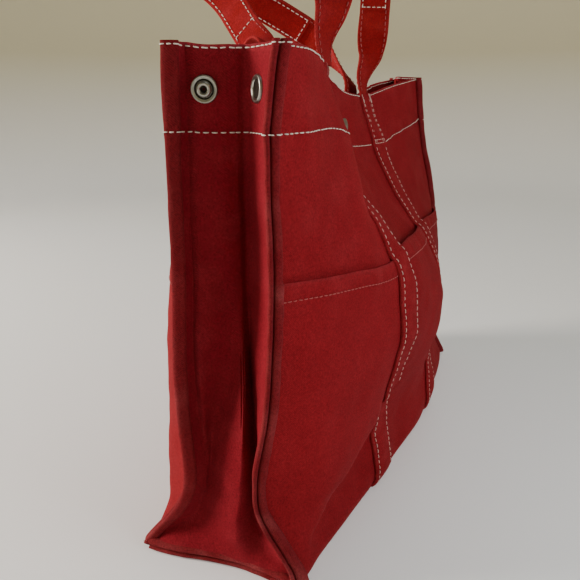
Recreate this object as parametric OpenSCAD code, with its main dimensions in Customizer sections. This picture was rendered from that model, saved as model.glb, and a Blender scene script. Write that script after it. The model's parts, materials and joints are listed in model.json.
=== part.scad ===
// Canvas garden tool bag: open-topped tote with outside pockets, pleated end
// gussets, ring snaps and two looped carrying handles.
// Frame: origin under the centre of the base, +Z up, +X along the bag (left is -X),
// -Y front. Walls are drawn at the front and gussets at the left, then mirrored.

/* [Bag] */
// Length of the bag between its end seams
bag_l = 380; // [340:5:420]
// Height of the end seams
bag_h = 300; // [270:5:330]
// Thickness of one layer of canvas
canvas_t = 1.6; // [1.2:0.1:1.8]
// Length of canvas turned down inside the mouth
hem_h = 41; // [30:1:50]
// Height of the pocket mouths, as a share of the wall height
pocket_v = 0.60; // [0.45:0.01:0.7]
// How far each pocket mouth stands off the wall
pocket_gape = 6; // [0:0.5:9]

/* [Straps and handles] */
// Width of the carrying straps
strap_w = 25; // [20:1:30]
// Thickness of a strap sewn to the wall
strap_t = 2; // [1.6:0.1:2.4]
// Distance from the middle of the bag to each strap
strap_x = 65; // [55:1:80]
// Height of the handle loop above the mouth
handle_rise = 165; // [140:5:200]
// Thickness of the free strap of a handle
handle_t = 2.6; // [2:0.1:3]
// Lean of each leg of a handle towards the other
leg_lean = 15; // [5:1:18]
// Outward lean of the front handle at rest
front_lean = 4; // [2:1:30]
// Outward lean of the back handle at rest
back_lean = 45; // [10:1:60]
// Plain strap between the mouth and the sewn grip
grip_gap = 62; // [40:1:80]

/* [Snaps] */
// Flange diameter of the ring snaps
snap_d = 13.5; // [13.5:0.5:16]
// Bore of the socket
socket_bore_d = 8.6; // [8:0.1:9]
// Depth of the gusset snaps below the mouth
snap_drop = 20; // [16:1:26]
// Share of the wall height at which the mouth snap sits
mouth_snap_v = 0.905; // [0.89:0.005:0.93]

/* [Hidden] */
NODES = ["base_panel", "base_left_strap", "base_right_strap",
    "base_left_seam_edge", "base_right_seam_edge",
    "front_panel", "front_pocket", "front_left_strap", "front_right_strap",
    "front_hem_facing", "front_left_seam_edge", "front_right_seam_edge",
    "front_snap_cap", "front_snap_socket",
    "back_panel", "back_pocket", "back_left_strap", "back_right_strap",
    "back_hem_facing", "back_left_seam_edge", "back_right_seam_edge",
    "back_snap_cap", "back_snap_stud",
    "front_handle_strap", "front_handle_grip", "back_handle_strap", "back_handle_grip",
    "left_gusset_front_half", "left_gusset_back_half",
    "right_gusset_front_half", "right_gusset_back_half",
    "left_gusset_front_edge", "left_gusset_back_edge",
    "right_gusset_front_edge", "right_gusset_back_edge",
    "left_gusset_front_facing", "left_gusset_back_facing",
    "right_gusset_front_facing", "right_gusset_back_facing",
    "left_gusset_socket", "left_gusset_socket_washer",
    "left_gusset_stud", "left_gusset_stud_washer",
    "right_gusset_socket", "right_gusset_socket_washer",
    "right_gusset_stud", "right_gusset_stud_washer"];
node = "all";

half_l = bag_l / 2;
hem_v = 1 - hem_h / bag_h;
strap_in = strap_x - strap_w / 2;   // edges of a strap, from the middle of the bag
strap_out = strap_x + strap_w / 2;
layer_gap = 0.15;                   // between layers sewn on the outside
ridge_r = 2.3;                      // rolled edges along the end seams
ridge_x = half_l + ridge_r + 0.2;

// ------------------------------------------------------- lofting tables
// Distance from the bag's mid-plane to the wall's inner face:
// one row for each length in station_x, one column for each height in level_z
level_z = [0, 12, 30, 60, 95, 130, 160, 190, 225, 250, 270, 300] * (bag_h / 300);
station_x = [-190, -130, -65, 0, 65, 130, 190] * (bag_l / 380);
station_y = [
    [53, 47, 36, 25, 28, 30, 30, 30, 30, 30, 31, 31],
    [57, 57, 52, 50, 62, 68, 64, 52, 42, 37, 34, 31],
    [61, 62, 58, 59, 70, 75, 71, 54, 36, 25, 20, 14],
    [68, 68, 66, 67, 75, 79, 73, 54, 28, 12, 5, 7],
    [67, 68, 69, 70, 69, 64, 56, 40, 24, 13, 8, 6],
    [62, 62, 60, 60, 62, 58, 50, 38, 28, 22, 18, 15],
    [56, 53, 44, 38, 40, 40, 37, 31, 25, 20, 16, 13]];
// Height of the mouth edge at each station
station_top = [300, 300.5, 299, 282, 280, 289, 297] * (bag_h / 300);
// Y of the middle of the mouth at each station
station_mid = [-12, -6, 4, 2, 5, 2, -3];
// Depth of the pleat in each gusset, at each height in level_z
pleat_left = [0, 6, 20, 34, 38, 38, 38, 38, 36, 32, 29, 28];
pleat_right = [0, 4, 12, 24, 30, 32, 34, 34, 34, 34, 34, 34];

// ------------------------------------------------------------ arithmetic
function find(keys, x, i = 0) =
    (i >= len(keys) - 2 || x < keys[i + 1]) ? i : find(keys, x, i + 1);
function slope(keys, values, i) =
    let (low = max(0, i - 1), high = min(len(keys) - 1, i + 1))
    (values[high] - values[low]) / (keys[high] - keys[low]);
// Smooth (cubic Hermite) interpolation of values given at keys
function smooth(keys, values, x) =
    let (i = find(keys, x), span = keys[i + 1] - keys[i], part = (x - keys[i]) / span,
         square = part * part, cube = square * part,
         rate0 = slope(keys, values, i) * span, rate1 = slope(keys, values, i + 1) * span)
    (2 * cube - 3 * square + 1) * values[i] + (cube - 2 * square + part) * rate0
    + (3 * square - 2 * cube) * values[i + 1] + (cube - square) * rate1;
// Eased step from 0 to 1
function ease(x) = let (part = max(0, min(1, x))) part * part * (3 - 2 * part);
function unit(vector) = vector / norm(vector);
function range(from, to, steps) = [for (i = [0 : steps]) from + (to - from) * i / steps];
function within(grid, from, to) = [for (x = grid) if (x >= from - 0.001 && x <= to + 0.001) x];

// --------------------------------------------------------- solid builders
// A quad as two triangles, split from a to c
function quad(a, b, c, d) = [[a, b, c], [a, c, d]];

// A closed solid between two grids of points, rows upward and columns to the right
module sheet(outer, inner) {
    rows = len(outer);
    cols = len(outer[0]);
    back_id = rows * cols;   // from an outer point's index to the inner one's
    pts = [for (grid = [outer, inner]) for (row = grid) each row];
    skin = [for (i = [0 : rows - 2]) for (j = [0 : cols - 2])
        let (a = i * cols + j, b = a + cols, c = b + 1, d = a + 1)
        each concat(quad(a, b, c, d),
            quad(a + back_id, d + back_id, c + back_id, b + back_id))];
    // Boundary edges, in the direction that faces their strips outward
    top = (rows - 1) * cols;
    edges = concat(
        [for (j = [0 : cols - 2]) [j, j + 1]],
        [for (j = [0 : cols - 2]) [top + j + 1, top + j]],
        [for (i = [0 : rows - 2]) [(i + 1) * cols, i * cols]],
        [for (i = [0 : rows - 2]) [(i + 1) * cols - 1, (i + 2) * cols - 1]]);
    rim = [for (edge = edges)
        each quad(edge[0], edge[1], edge[1] + back_id, edge[0] + back_id)];
    polyhedron(pts, concat(skin, rim), convexity = 8);
}

// A closed solid through a list of rings with the same number of points
module sweep(rings) {
    count = len(rings);
    sides = len(rings[0]);
    pts = [for (ring = rings) each ring];
    skin = [for (i = [0 : count - 2]) for (j = [0 : sides - 1])
        let (a = i * sides + j, b = i * sides + (j + 1) % sides)
        each quad(a, b, b + sides, a + sides)];
    first_cap = [for (j = [sides - 1 : -1 : 0]) j];
    last_cap = [for (j = [0 : sides - 1]) (count - 1) * sides + j];
    polyhedron(pts, concat(skin, [first_cap, last_cap]), convexity = 8);
}

// ------------------------------------------------------------- wall shape
// share is a height on the wall as a share of the mouth height there.
// $facing is 1 on the front wall, -1 on the back.
$facing = 1;
mouth_y = 3.6;      // wall's distance from the mid-plane at the mouth snap
flat_r = 28;        // the cloth is held flat around the mouth snap,
flat_blend = 12;    // easing into the loft over this outer part of the radius
foot_gap = 1;       // between the base panel and the wall's lower edge

function top_z(x) = smooth(station_x, station_top, x);
function flatness(x, share) =
    ease((flat_r - norm([x, (share - mouth_snap_v) * top_z(0)])) / flat_blend);
function loft_y(x, share) =
    smooth(station_x, [for (row = station_y) smooth(level_z, row, share * bag_h)], x);
function wall_y(x, share) =
    let (flat = flatness(x, share)) flat * mouth_y + (1 - flat) * loft_y(x, share);
// The mouth wanders off the mid-plane of the base
function lean_y(x, share) =
    $facing * smooth(station_x, station_mid, x) * pow(max(0, share), 1.4);
// The base panel lies on the ground and steps up over the straps sewn under it
function lift(x) = (strap_t + 0.1) * ease((strap_w / 2 + 5.5 - abs(abs(x) - strap_x)) / 4.5);
// A point on the front wall, off millimetres outside its inner face
function wall_pt(x, share, off) =
    [x, lean_y(x, share) - (wall_y(x, share) + off),
     max(share * top_z(x), canvas_t + foot_gap + lift(x))];

// Grid lines shared by the cloth layers, so that each lies evenly on the next
half_x = [9, 24, 36, strap_in - 5, strap_in, strap_x, strap_out, strap_out + 5,
    96, 112, 128, 144, 158, 170, half_l - 8, half_l - 2, half_l];
grid_x = concat([for (i = [len(half_x) - 1 : -1 : 0]) -half_x[i]], half_x);
strap_step = 0.03;  // share over which a strap steps off the pocket
neck_v = 0.94;      // last grid line below the mouth
grid_v = [0, 0.03, 0.06, 0.1, 0.15, 0.2, 0.26, 0.32, 0.38, 0.43, 0.48, 0.54,
    pocket_v, pocket_v + strap_step, 0.67, 0.72, 0.77, 0.82, hem_v, neck_v, 1];

// ------------------------------------------------------------- wall pieces
hem_out = 1.5;      // inward face of the hem, from the wall's inner face

// A layer of cloth on the front wall, inner and outer millimetres off its inner face
module wall_layer(x_from, x_to, v_from, v_to, inner, outer, gaping = false) {
    function layer(off) = [for (share = within(grid_v, v_from, v_to))
        [for (x = within(grid_x, x_from, x_to))
            wall_pt(x, share, off + (gaping ? gape(x, share) : 0))]];
    sheet(layer(outer), layer(inner));
}
module wall_panel() {
    // The first grid is the wall's inner face
    wall_layer(-half_l, half_l, 0, 1, inner = 0, outer = canvas_t);
}
// Stand-off of the pocket: nil at the seams, the straps and the base
pocket_end = half_l - 2;
function gape(x, share) =
    let (from_mid = abs(x),
         part = from_mid < strap_in ? (from_mid + strap_in) / (2 * strap_in) :
            from_mid > strap_out ? (from_mid - strap_out) / (pocket_end - strap_out) : 0)
    pocket_gape * pow(max(0, sin(180 * part)), 1.5) * pow(max(0, share / pocket_v), 1.3);
module wall_pocket() {
    wall_layer(-pocket_end, pocket_end, 0, pocket_v,
        inner = canvas_t + layer_gap, outer = 2 * canvas_t + 0.1, gaping = true);
}
module wall_hem() {
    wall_layer(-half_l + 20, half_l - 32, hem_v, 1, inner = -hem_out, outer = -0.1);
}
// A strap lies over the pocket, and on the wall panel above it
function strap_off(share) =
    (canvas_t + layer_gap) * (1 + ease((pocket_v + strap_step - share) / strap_step));
// The strap's top edge follows the line the handle bends about
function strap_pt(x, share, off) =
    let (pt = wall_pt(x, share, off), neck = wall_pt(x, neck_v, off))
    share < 1 ? pt :
    neck + (pt - neck) * (hinge_z(x) - root_gap - neck[2]) / (pt[2] - neck[2]);
module wall_strap(side) {
    columns = within(grid_x, side * strap_x - strap_w / 2, side * strap_x + strap_w / 2);
    function face(off) = [for (share = grid_v)
        [for (x = columns) strap_pt(x, share, strap_off(share) + off)]];
    sheet(face(strap_t), face(0));
}
// Rolled edge along the end seam measured at side, drawn at the end x_side,
// out millimetres outside the wall's inner face
module seam_ridge(side, x_side, out) {
    end_x = side * half_l;
    sweep([for (share = range(0.018, 0.995, 20))
        let (centre = [x_side * ridge_x, lean_y(end_x, share) - (wall_y(end_x, share) + out),
            share * top_z(end_x)])
        [for (angle = [0 : 45 : 315]) centre + ridge_r * [cos(angle), sin(angle), 0]]]);
}
module wall_seam_edge(side) {
    seam_ridge(side, side, ridge_r);
}

// -------------------------------------------------------------- end gussets
// Every half is drawn at the left front; side picks the end whose measures it takes.
// across runs from 0 at the pleat to 1 at the seam.
pleat_y = 1;            // distance of the pleat's fold from the middle of the bag
snap_flat = 10;         // cloth kept straight above and below a snap
facing_out = canvas_t + 1.4;

function pleat(side, z) = smooth(level_z, side < 0 ? pleat_left : pleat_right, min(z, bag_h));
function gusset_top(side) = top_z(side * half_l);
function gusset_x(side, across, z) = -half_l + pleat(side, z) * (1 - across);
function gusset_y(side, across, z) =
    let (share = z / gusset_top(side), seam_inset = side < 0 ? 1.3 : 2.6)
    lean_y(side * half_l, share)
    - (pleat_y * (1 - across) + (wall_y(side * half_l, share) - seam_inset) * across);
// Direction into the bag
function gusset_normal(side, z) =
    let (dx = -pleat(side, z), dy = gusset_y(side, 1, z) - gusset_y(side, 0, z))
    unit([-dy, dx, 0]);
function gusset_pt(side, across, z, off) =
    [gusset_x(side, across, z), gusset_y(side, across, z), z] + gusset_normal(side, z) * off;
// Heights of the rows over the facing
function facing_rows(side) =
    let (top = gusset_top(side), snap_z = top - snap_drop)
    [top - hem_h, snap_z - snap_flat, snap_z + snap_flat, top];

module gusset_half(side) {
    rows = concat(range(5.5, gusset_top(side) - hem_h - 18, 13), facing_rows(side));
    columns = range(0, 0.985, 3);
    sheet([for (z = rows) [for (across = columns) gusset_pt(side, across, z, 0)]],
          [for (z = rows) [for (across = columns)
              gusset_pt(side, across * 0.95 + 0.02, z, canvas_t)]]);
}
module gusset_facing(side) {
    function face(off) = [for (z = facing_rows(side))
        [for (across = range(0.12, 0.78, 3)) gusset_pt(side, across, z, off)]];
    sheet(face(canvas_t + 0.2), face(facing_out));
}
module gusset_edge(side) {
    seam_ridge(side, -1, -(ridge_r + 0.3));
}

// ------------------------------------------------------------------- snaps
// Every snap part is turned about its axis, with z = 0 on the cloth face it sits on.
// Profile columns: radius, height.
snap_r = snap_d / 2;
bore_r = socket_bore_d / 2;
stud_bore_d = 4;        // bore of the washer behind a stud
snap_seam_gap = 23;     // from a gusset snap's axis to the seam

module turned(profile) {
    rotate_extrude($fn = 48) polygon(profile);
}
module stud_part() {
    turned([[2.0, 0], [snap_r, 0], [snap_r, 0.4], [snap_r - 0.7, 1.0], [5.6, 1.2],
        [4.9, 0.8], [4.1, 0.8], [4.0, 2.6], [3.5, 3.1], [2.4, 3.1], [2.0, 2.7]]);
}
module socket_part() {
    turned([[bore_r, 0], [snap_r, 0], [snap_r, 0.6], [snap_r - 0.8, 1.7],
        [5.6, 2.2], [4.9, 2.0], [bore_r, 1.2]]);
}
module washer_part(bore_d) {
    turned([[bore_d / 2, 0], [snap_r - 0.5, 0], [snap_r - 0.5, 0.4],
        [5.4, 0.9], [bore_d / 2, 0.9]]);
}
module cap_part() {
    turned([[0, 0], [snap_r, 0], [snap_r, 0.7], [6.7, 1.6], [5.2, 2.3], [3, 2.75], [0, 2.9]]);
}
// Places a part at the mouth snap, on the wall's outer face or inside on the hem
module on_mouth(inner = false) {
    gap = 0.35;
    off = inner ? -(hem_out + gap) : canvas_t + gap;
    translate([0, lean_y(0, mouth_snap_v) - (mouth_y + off), mouth_snap_v * top_z(0)])
        rotate([inner ? -90 : 90, 0, 0]) children();
}
// Places a part on the outer face of a left gusset half, or inside on its facing
module on_gusset(side, inner = false) {
    gap = 0.4;
    z = gusset_top(side) - snap_drop;
    run = norm([pleat(side, z), gusset_y(side, 1, z) - gusset_y(side, 0, z)]);
    across = 1 - snap_seam_gap / run;
    low = gusset_pt(side, across, z - snap_flat, 0);
    high = gusset_pt(side, across, z + snap_flat, 0);
    outward = unit(cross(gusset_pt(side, 1, z, 0) - gusset_pt(side, 0, z, 0), high - low));
    axis = inner ? -outward : outward;
    translate((low + high) / 2 + outward * (inner ? -(facing_out + gap) : gap))
        rotate([0, acos(axis[2]), atan2(axis[1], axis[0])]) children();
}

// ----------------------------------------------------------------- handles
// dist is a distance along the loop from its left root; up is the loop's upward direction
root_gap = 2.6;     // from the sewn strap to the root, so that the handle can fold right over
root_trim = 2.2;    // from the root to the cut end of the free strap
grip_t = 1.6;
grip_step = 0.1;    // between the strap and the grip
bend_len = 50;      // first stretch of each leg, which bends inwards

function root(side) =
    let (x = side * strap_x)
    [x, lean_y(x, 1) - (wall_y(x, 1) + canvas_t + 1.15 + strap_t / 2), top_z(x) + root_gap];
// Direction from the left root to the right one
function root_dir() = unit(root(1) - root(-1));
function hinge_z(x) =
    root(-1)[2] + (x + strap_x) / (2 * strap_x) * (root(1)[2] - root(-1)[2]);
function loop_up(lean) =
    let (upward = [0, -sin(lean), cos(lean)], along = root_dir())
    unit(upward - (upward * along) * along);

// Above its bend each leg runs straight and meets the other in a round top
half_span = norm(root(1) - root(-1)) / 2;
straight_span = half_span - bend_len * sin(leg_lean) / 2;   // half span above the bend
arch_ratio = (1 - sin(leg_lean)) / cos(leg_lean);
leg_len = bend_len
    + (handle_rise - bend_len + (1 - cos(leg_lean)) * bend_len / 2 - arch_ratio * straight_span)
    / (cos(leg_lean) - sin(leg_lean) * arch_ratio);
arch_r = (straight_span - (leg_len - bend_len) * sin(leg_lean)) / cos(leg_lean);
half_loop = leg_len + arch_r * (90 - leg_lean) * PI / 180;
loop_len = 2 * half_loop;

// Heading of the loop, from straight up at one root to straight down at the other
function turn(dist) = dist > half_loop ? 180 - turn(loop_len - dist) :
    dist < bend_len ? leg_lean * ease(dist / bend_len) :
    dist < leg_len ? leg_lean : leg_lean + (dist - leg_len) / arch_r * 180 / PI;
// Distance in from the root and up from it, over the first half
function loop_in_up(dist) =
    let (part = min(1, dist / bend_len),
         bent = bend_len * (pow(part, 3) - pow(part, 4) / 2),
         straight = max(0, min(dist, leg_len) - bend_len),
         heading = turn(dist),
         arch = dist > leg_len ? arch_r : 0)
    [sin(leg_lean) * (bent + straight) + arch * (cos(leg_lean) - cos(heading)),
     min(dist, bend_len) - (1 - cos(leg_lean)) * bent + straight * cos(leg_lean)
        + arch * (sin(heading) - sin(leg_lean))];
function loop_centre(dist, up) =
    let (first = dist <= half_loop, step = loop_in_up(first ? dist : loop_len - dist))
    root(first ? -1 : 1) + (first ? 1 : -1) * root_dir() * step[0] + up * step[1];
// The strap leaves the root flat to the wall and twists a quarter turn below the grip
function twist(dist) = 90 * ease((min(dist, loop_len - dist) - 4) / (grip_gap - 6));
// A cross-section between two offsets through the strap's thickness
function loop_ring(dist, up, width, low, high) =
    let (centre = loop_centre(dist, up),
         radial = up * sin(turn(dist)) - root_dir() * cos(turn(dist)),
         normal = cross(root_dir(), up),
         angle = twist(dist),
         wide = (-radial * cos(angle) - normal * sin(angle)) * width / 2,
         thick = radial * sin(angle) - normal * cos(angle))
    [centre - wide + thick * low, centre + wide + thick * low,
     centre + wide + thick * high, centre - wide + thick * high];

grip_stations = concat(range(grip_gap, leg_len, 3),
    range(leg_len + 6, loop_len - leg_len - 6, 12),
    range(loop_len - leg_len, loop_len - grip_gap, 3));
strap_stations = concat(range(root_trim, grip_gap - 2, 14), grip_stations,
    range(loop_len - grip_gap + 2, loop_len - root_trim, 14));

module handle_strap(lean) {
    up = loop_up(lean);
    sweep([for (dist = strap_stations)
        loop_ring(dist, up, strap_w, -handle_t / 2, handle_t / 2)]);
}
module handle_grip(lean) {
    up = loop_up(lean);
    face = -handle_t / 2 - grip_step;
    sweep([for (dist = grip_stations)
        loop_ring(dist, up, strap_w - 1.5, face - grip_t, face)]);
}

// -------------------------------------------------------------------- base
module base_panel() {
    function face(height) = [for (row = [1, 0, -1])
        [for (x = grid_x) [x, row * (wall_y(x, 0) + canvas_t), lift(x) + height]]];
    sheet(face(0), face(canvas_t));
}
module base_strap(side) {
    half_w = wall_y(side * strap_x, 0) + strap_off(0) + strap_t;
    translate([side * strap_x - strap_w / 2, -half_w, 0]) cube([strap_w, 2 * half_w, strap_t]);
}
module base_seam_edge(side) {
    half_w = wall_y(side * half_l, 0) - 3;
    translate([side * ridge_x, half_w, ridge_r]) rotate([90, 0, 0])
        cylinder(r = ridge_r, h = 2 * half_w, $fn = 32);
}

// --------------------------------------------------- colours and mirroring
module cloth() { color([0.52, 0.06, 0.07]) children(); }
module webbing() { color([0.60, 0.07, 0.07]) children(); }
module edge_cloth() { color([0.45, 0.08, 0.09]) children(); }
module nickel() { color([0.62, 0.61, 0.56]) children(); }
module back() { mirror([0, 1, 0]) let ($facing = -1) children(); }
module right() { mirror([1, 0, 0]) children(); }
function on(name) = node == "all" || node == name;

if (on("base_panel")) cloth() base_panel();
if (on("base_left_strap")) webbing() base_strap(-1);
if (on("base_right_strap")) webbing() base_strap(1);
if (on("base_left_seam_edge")) edge_cloth() base_seam_edge(-1);
if (on("base_right_seam_edge")) edge_cloth() base_seam_edge(1);

if (on("front_panel")) cloth() wall_panel();
if (on("front_pocket")) cloth() wall_pocket();
if (on("front_left_strap")) webbing() wall_strap(-1);
if (on("front_right_strap")) webbing() wall_strap(1);
if (on("front_hem_facing")) cloth() wall_hem();
if (on("front_left_seam_edge")) edge_cloth() wall_seam_edge(-1);
if (on("front_right_seam_edge")) edge_cloth() wall_seam_edge(1);
if (on("front_snap_cap")) nickel() on_mouth() cap_part();
if (on("front_snap_socket")) nickel() on_mouth(inner = true) socket_part();

if (on("back_panel")) cloth() back() wall_panel();
if (on("back_pocket")) cloth() back() wall_pocket();
if (on("back_left_strap")) webbing() back() wall_strap(-1);
if (on("back_right_strap")) webbing() back() wall_strap(1);
if (on("back_hem_facing")) cloth() back() wall_hem();
if (on("back_left_seam_edge")) edge_cloth() back() wall_seam_edge(-1);
if (on("back_right_seam_edge")) edge_cloth() back() wall_seam_edge(1);
if (on("back_snap_cap")) nickel() back() on_mouth() cap_part();
if (on("back_snap_stud")) nickel() back() on_mouth(inner = true) stud_part();

if (on("front_handle_strap")) webbing() handle_strap(front_lean);
if (on("front_handle_grip")) webbing() handle_grip(front_lean);
if (on("back_handle_strap")) webbing() back() handle_strap(back_lean);
if (on("back_handle_grip")) webbing() back() handle_grip(back_lean);

if (on("left_gusset_front_half")) cloth() gusset_half(-1);
if (on("left_gusset_back_half")) cloth() back() gusset_half(-1);
if (on("right_gusset_front_half")) cloth() right() gusset_half(1);
if (on("right_gusset_back_half")) cloth() back() right() gusset_half(1);
if (on("left_gusset_front_edge")) edge_cloth() gusset_edge(-1);
if (on("left_gusset_back_edge")) edge_cloth() back() gusset_edge(-1);
if (on("right_gusset_front_edge")) edge_cloth() right() gusset_edge(1);
if (on("right_gusset_back_edge")) edge_cloth() back() right() gusset_edge(1);
if (on("left_gusset_front_facing")) cloth() gusset_facing(-1);
if (on("left_gusset_back_facing")) cloth() back() gusset_facing(-1);
if (on("right_gusset_front_facing")) cloth() right() gusset_facing(1);
if (on("right_gusset_back_facing")) cloth() back() right() gusset_facing(1);

if (on("left_gusset_socket")) nickel() on_gusset(-1) socket_part();
if (on("left_gusset_socket_washer")) nickel() on_gusset(-1, true) washer_part(socket_bore_d);
if (on("left_gusset_stud")) nickel() back() on_gusset(-1) stud_part();
if (on("left_gusset_stud_washer")) nickel() back() on_gusset(-1, true) washer_part(stud_bore_d);
if (on("right_gusset_socket")) nickel() right() on_gusset(1) socket_part();
if (on("right_gusset_socket_washer"))
    nickel() right() on_gusset(1, true) washer_part(socket_bore_d);
if (on("right_gusset_stud")) nickel() back() right() on_gusset(1) stud_part();
if (on("right_gusset_stud_washer"))
    nickel() back() right() on_gusset(1, true) washer_part(stud_bore_d);
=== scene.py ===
"""A red canvas tote bag with straps, two handle loops and metal snaps, on a pale floor.

The bag stands on z = 0 with its length along x. Its front wall faces -y and its back wall +y.
The left end is at -x, nearest the camera. Shapes are worked out in mm; meshes are in metres.
"""
import bpy
import json
import math
import numpy as np
from mathutils import Matrix, Vector


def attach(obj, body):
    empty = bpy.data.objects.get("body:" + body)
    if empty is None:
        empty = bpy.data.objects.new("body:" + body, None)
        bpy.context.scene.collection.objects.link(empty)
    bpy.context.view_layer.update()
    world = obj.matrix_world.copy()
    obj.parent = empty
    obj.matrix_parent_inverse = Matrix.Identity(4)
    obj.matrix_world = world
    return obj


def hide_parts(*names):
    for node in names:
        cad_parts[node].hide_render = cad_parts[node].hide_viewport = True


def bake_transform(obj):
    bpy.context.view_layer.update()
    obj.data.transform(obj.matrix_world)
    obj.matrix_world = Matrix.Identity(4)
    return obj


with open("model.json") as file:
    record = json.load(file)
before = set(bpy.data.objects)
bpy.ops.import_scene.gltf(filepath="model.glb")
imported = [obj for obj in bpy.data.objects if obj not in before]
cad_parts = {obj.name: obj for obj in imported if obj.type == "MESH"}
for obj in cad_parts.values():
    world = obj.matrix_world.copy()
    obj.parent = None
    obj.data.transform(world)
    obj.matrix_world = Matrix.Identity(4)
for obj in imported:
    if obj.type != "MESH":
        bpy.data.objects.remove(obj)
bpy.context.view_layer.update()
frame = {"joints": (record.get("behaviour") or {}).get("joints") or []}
joints = {j["name"]: j for j in frame["joints"]}

MM = 0.001
END_X = 190.0         # half the bag's length
NOMINAL_HEIGHT = 300  # turns a share of the wall's height into mm, near enough
STRAP_X = 65.0        # centre lines of the straps
STRAP_HALF = 12.5
STRAP_ROW = 9.5       # stitch rows either side of a strap's centre line
HEM = 41.0            # depth of the turned hem
CLOTH = 1.6           # one layer of canvas
HEM_BACK = CLOTH + 1.5  # depth of the hem's inner face behind the wall's outer face
MOUTH_ROW = 1.7       # drop of the stitch row below the mouth
SNAP_RISE = 0.905     # height of the wall snaps, as a share of the wall
SNAP_DROP = 20.5      # drop of the gusset snaps below the mouth
ENDS = ((-1, "left"), (1, "right"))


# ------------------------------------------------------------------ numbers
def slopes(stations, values):
    """Slopes of a smooth curve through a table that doesn't overshoot its peaks."""
    step = np.diff(stations).reshape((-1,) + (1,) * (values.ndim - 1))
    grade = np.diff(values, axis=0) / step
    below, above = grade[:-1], grade[1:]
    middle = (below + above) / 2
    limit = 3 * np.minimum(np.abs(below), np.abs(above))
    slope = np.zeros_like(values)
    slope[0], slope[-1] = grade[0], grade[-1]
    slope[1:-1] = np.where(below * above <= 0, 0,
                           np.sign(middle) * np.minimum(np.abs(middle), limit))
    return slope


def smooth(stations, values, x):
    """Value at x of the curve through a table. values is (n,), or (n, k) with x of shape (k,)."""
    stations, values, x = (np.asarray(a, float) for a in (stations, values, x))
    slope = slopes(stations, values)
    i = np.clip(np.searchsorted(stations, x, side="right") - 1, 0, len(stations) - 2)
    gap = stations[i + 1] - stations[i]
    t = np.clip((x - stations[i]) / gap, 0, 1)
    column = (np.arange(values.shape[1]),) if values.ndim == 2 else ()
    low, high = (i,) + column, (i + 1,) + column
    return ((2 * t**3 - 3 * t**2 + 1) * values[low] + (t**3 - 2 * t**2 + t) * gap * slope[low]
            + (3 * t**2 - 2 * t**3) * values[high] + (t**3 - t**2) * gap * slope[high])


def ease(x):
    """0 to 1 with level ends as x goes from 0 to 1."""
    x = np.clip(x, 0, 1)
    return x * x * (3 - 2 * x)


def bell(x, width):
    """1 at x = 0, falling away on both sides."""
    return np.exp(-(x / width) ** 2)


def round_off(distance, radius):
    """Quarter circle: 1 at an edge, 0 from radius inwards."""
    return 1 - np.sqrt(np.clip(1 - np.clip(1 - distance / radius, 0, 1) ** 2, 0, 1))


def ripple(x, y, seed, short, long):
    """Seeded unevenness of about unit size over a plane, with waves from short to long."""
    draw = np.random.default_rng(seed)
    waves = 14
    total = np.zeros(np.broadcast(x, y).shape)
    for _ in range(waves):
        wave = math.exp(draw.uniform(math.log(short), math.log(long)))
        angle, phase = draw.uniform(0, math.pi), draw.uniform(0, 2 * math.pi)
        travel = x * math.cos(angle) + y * math.sin(angle)
        total = total + np.sin(travel * 2 * math.pi / wave + phase) * (wave / long) ** 0.6
    return total / math.sqrt(waves / 2)


def patches(x, y, seed, short, long):
    """The raised parts of a ripple, 0 to 1."""
    return np.clip(ripple(x, y, seed, short, long), 0, 1)


def unit(vectors):
    return vectors / np.maximum(np.linalg.norm(vectors, axis=-1, keepdims=True), 1e-12)


def square_to(vectors, axis):
    """Unit vectors turned square to an axis."""
    return unit(vectors - axis * (vectors * axis).sum(-1, keepdims=True))


def xyz(x, y, z):
    return np.stack(np.broadcast_arrays(x, y, z), -1)


def circle(sides):
    return np.linspace(0, 2 * np.pi, sides, endpoint=False)


def squared(values, power):
    """Cosines or sines bent towards a rounded rectangle."""
    return np.sign(values) * np.abs(values) ** power


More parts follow.
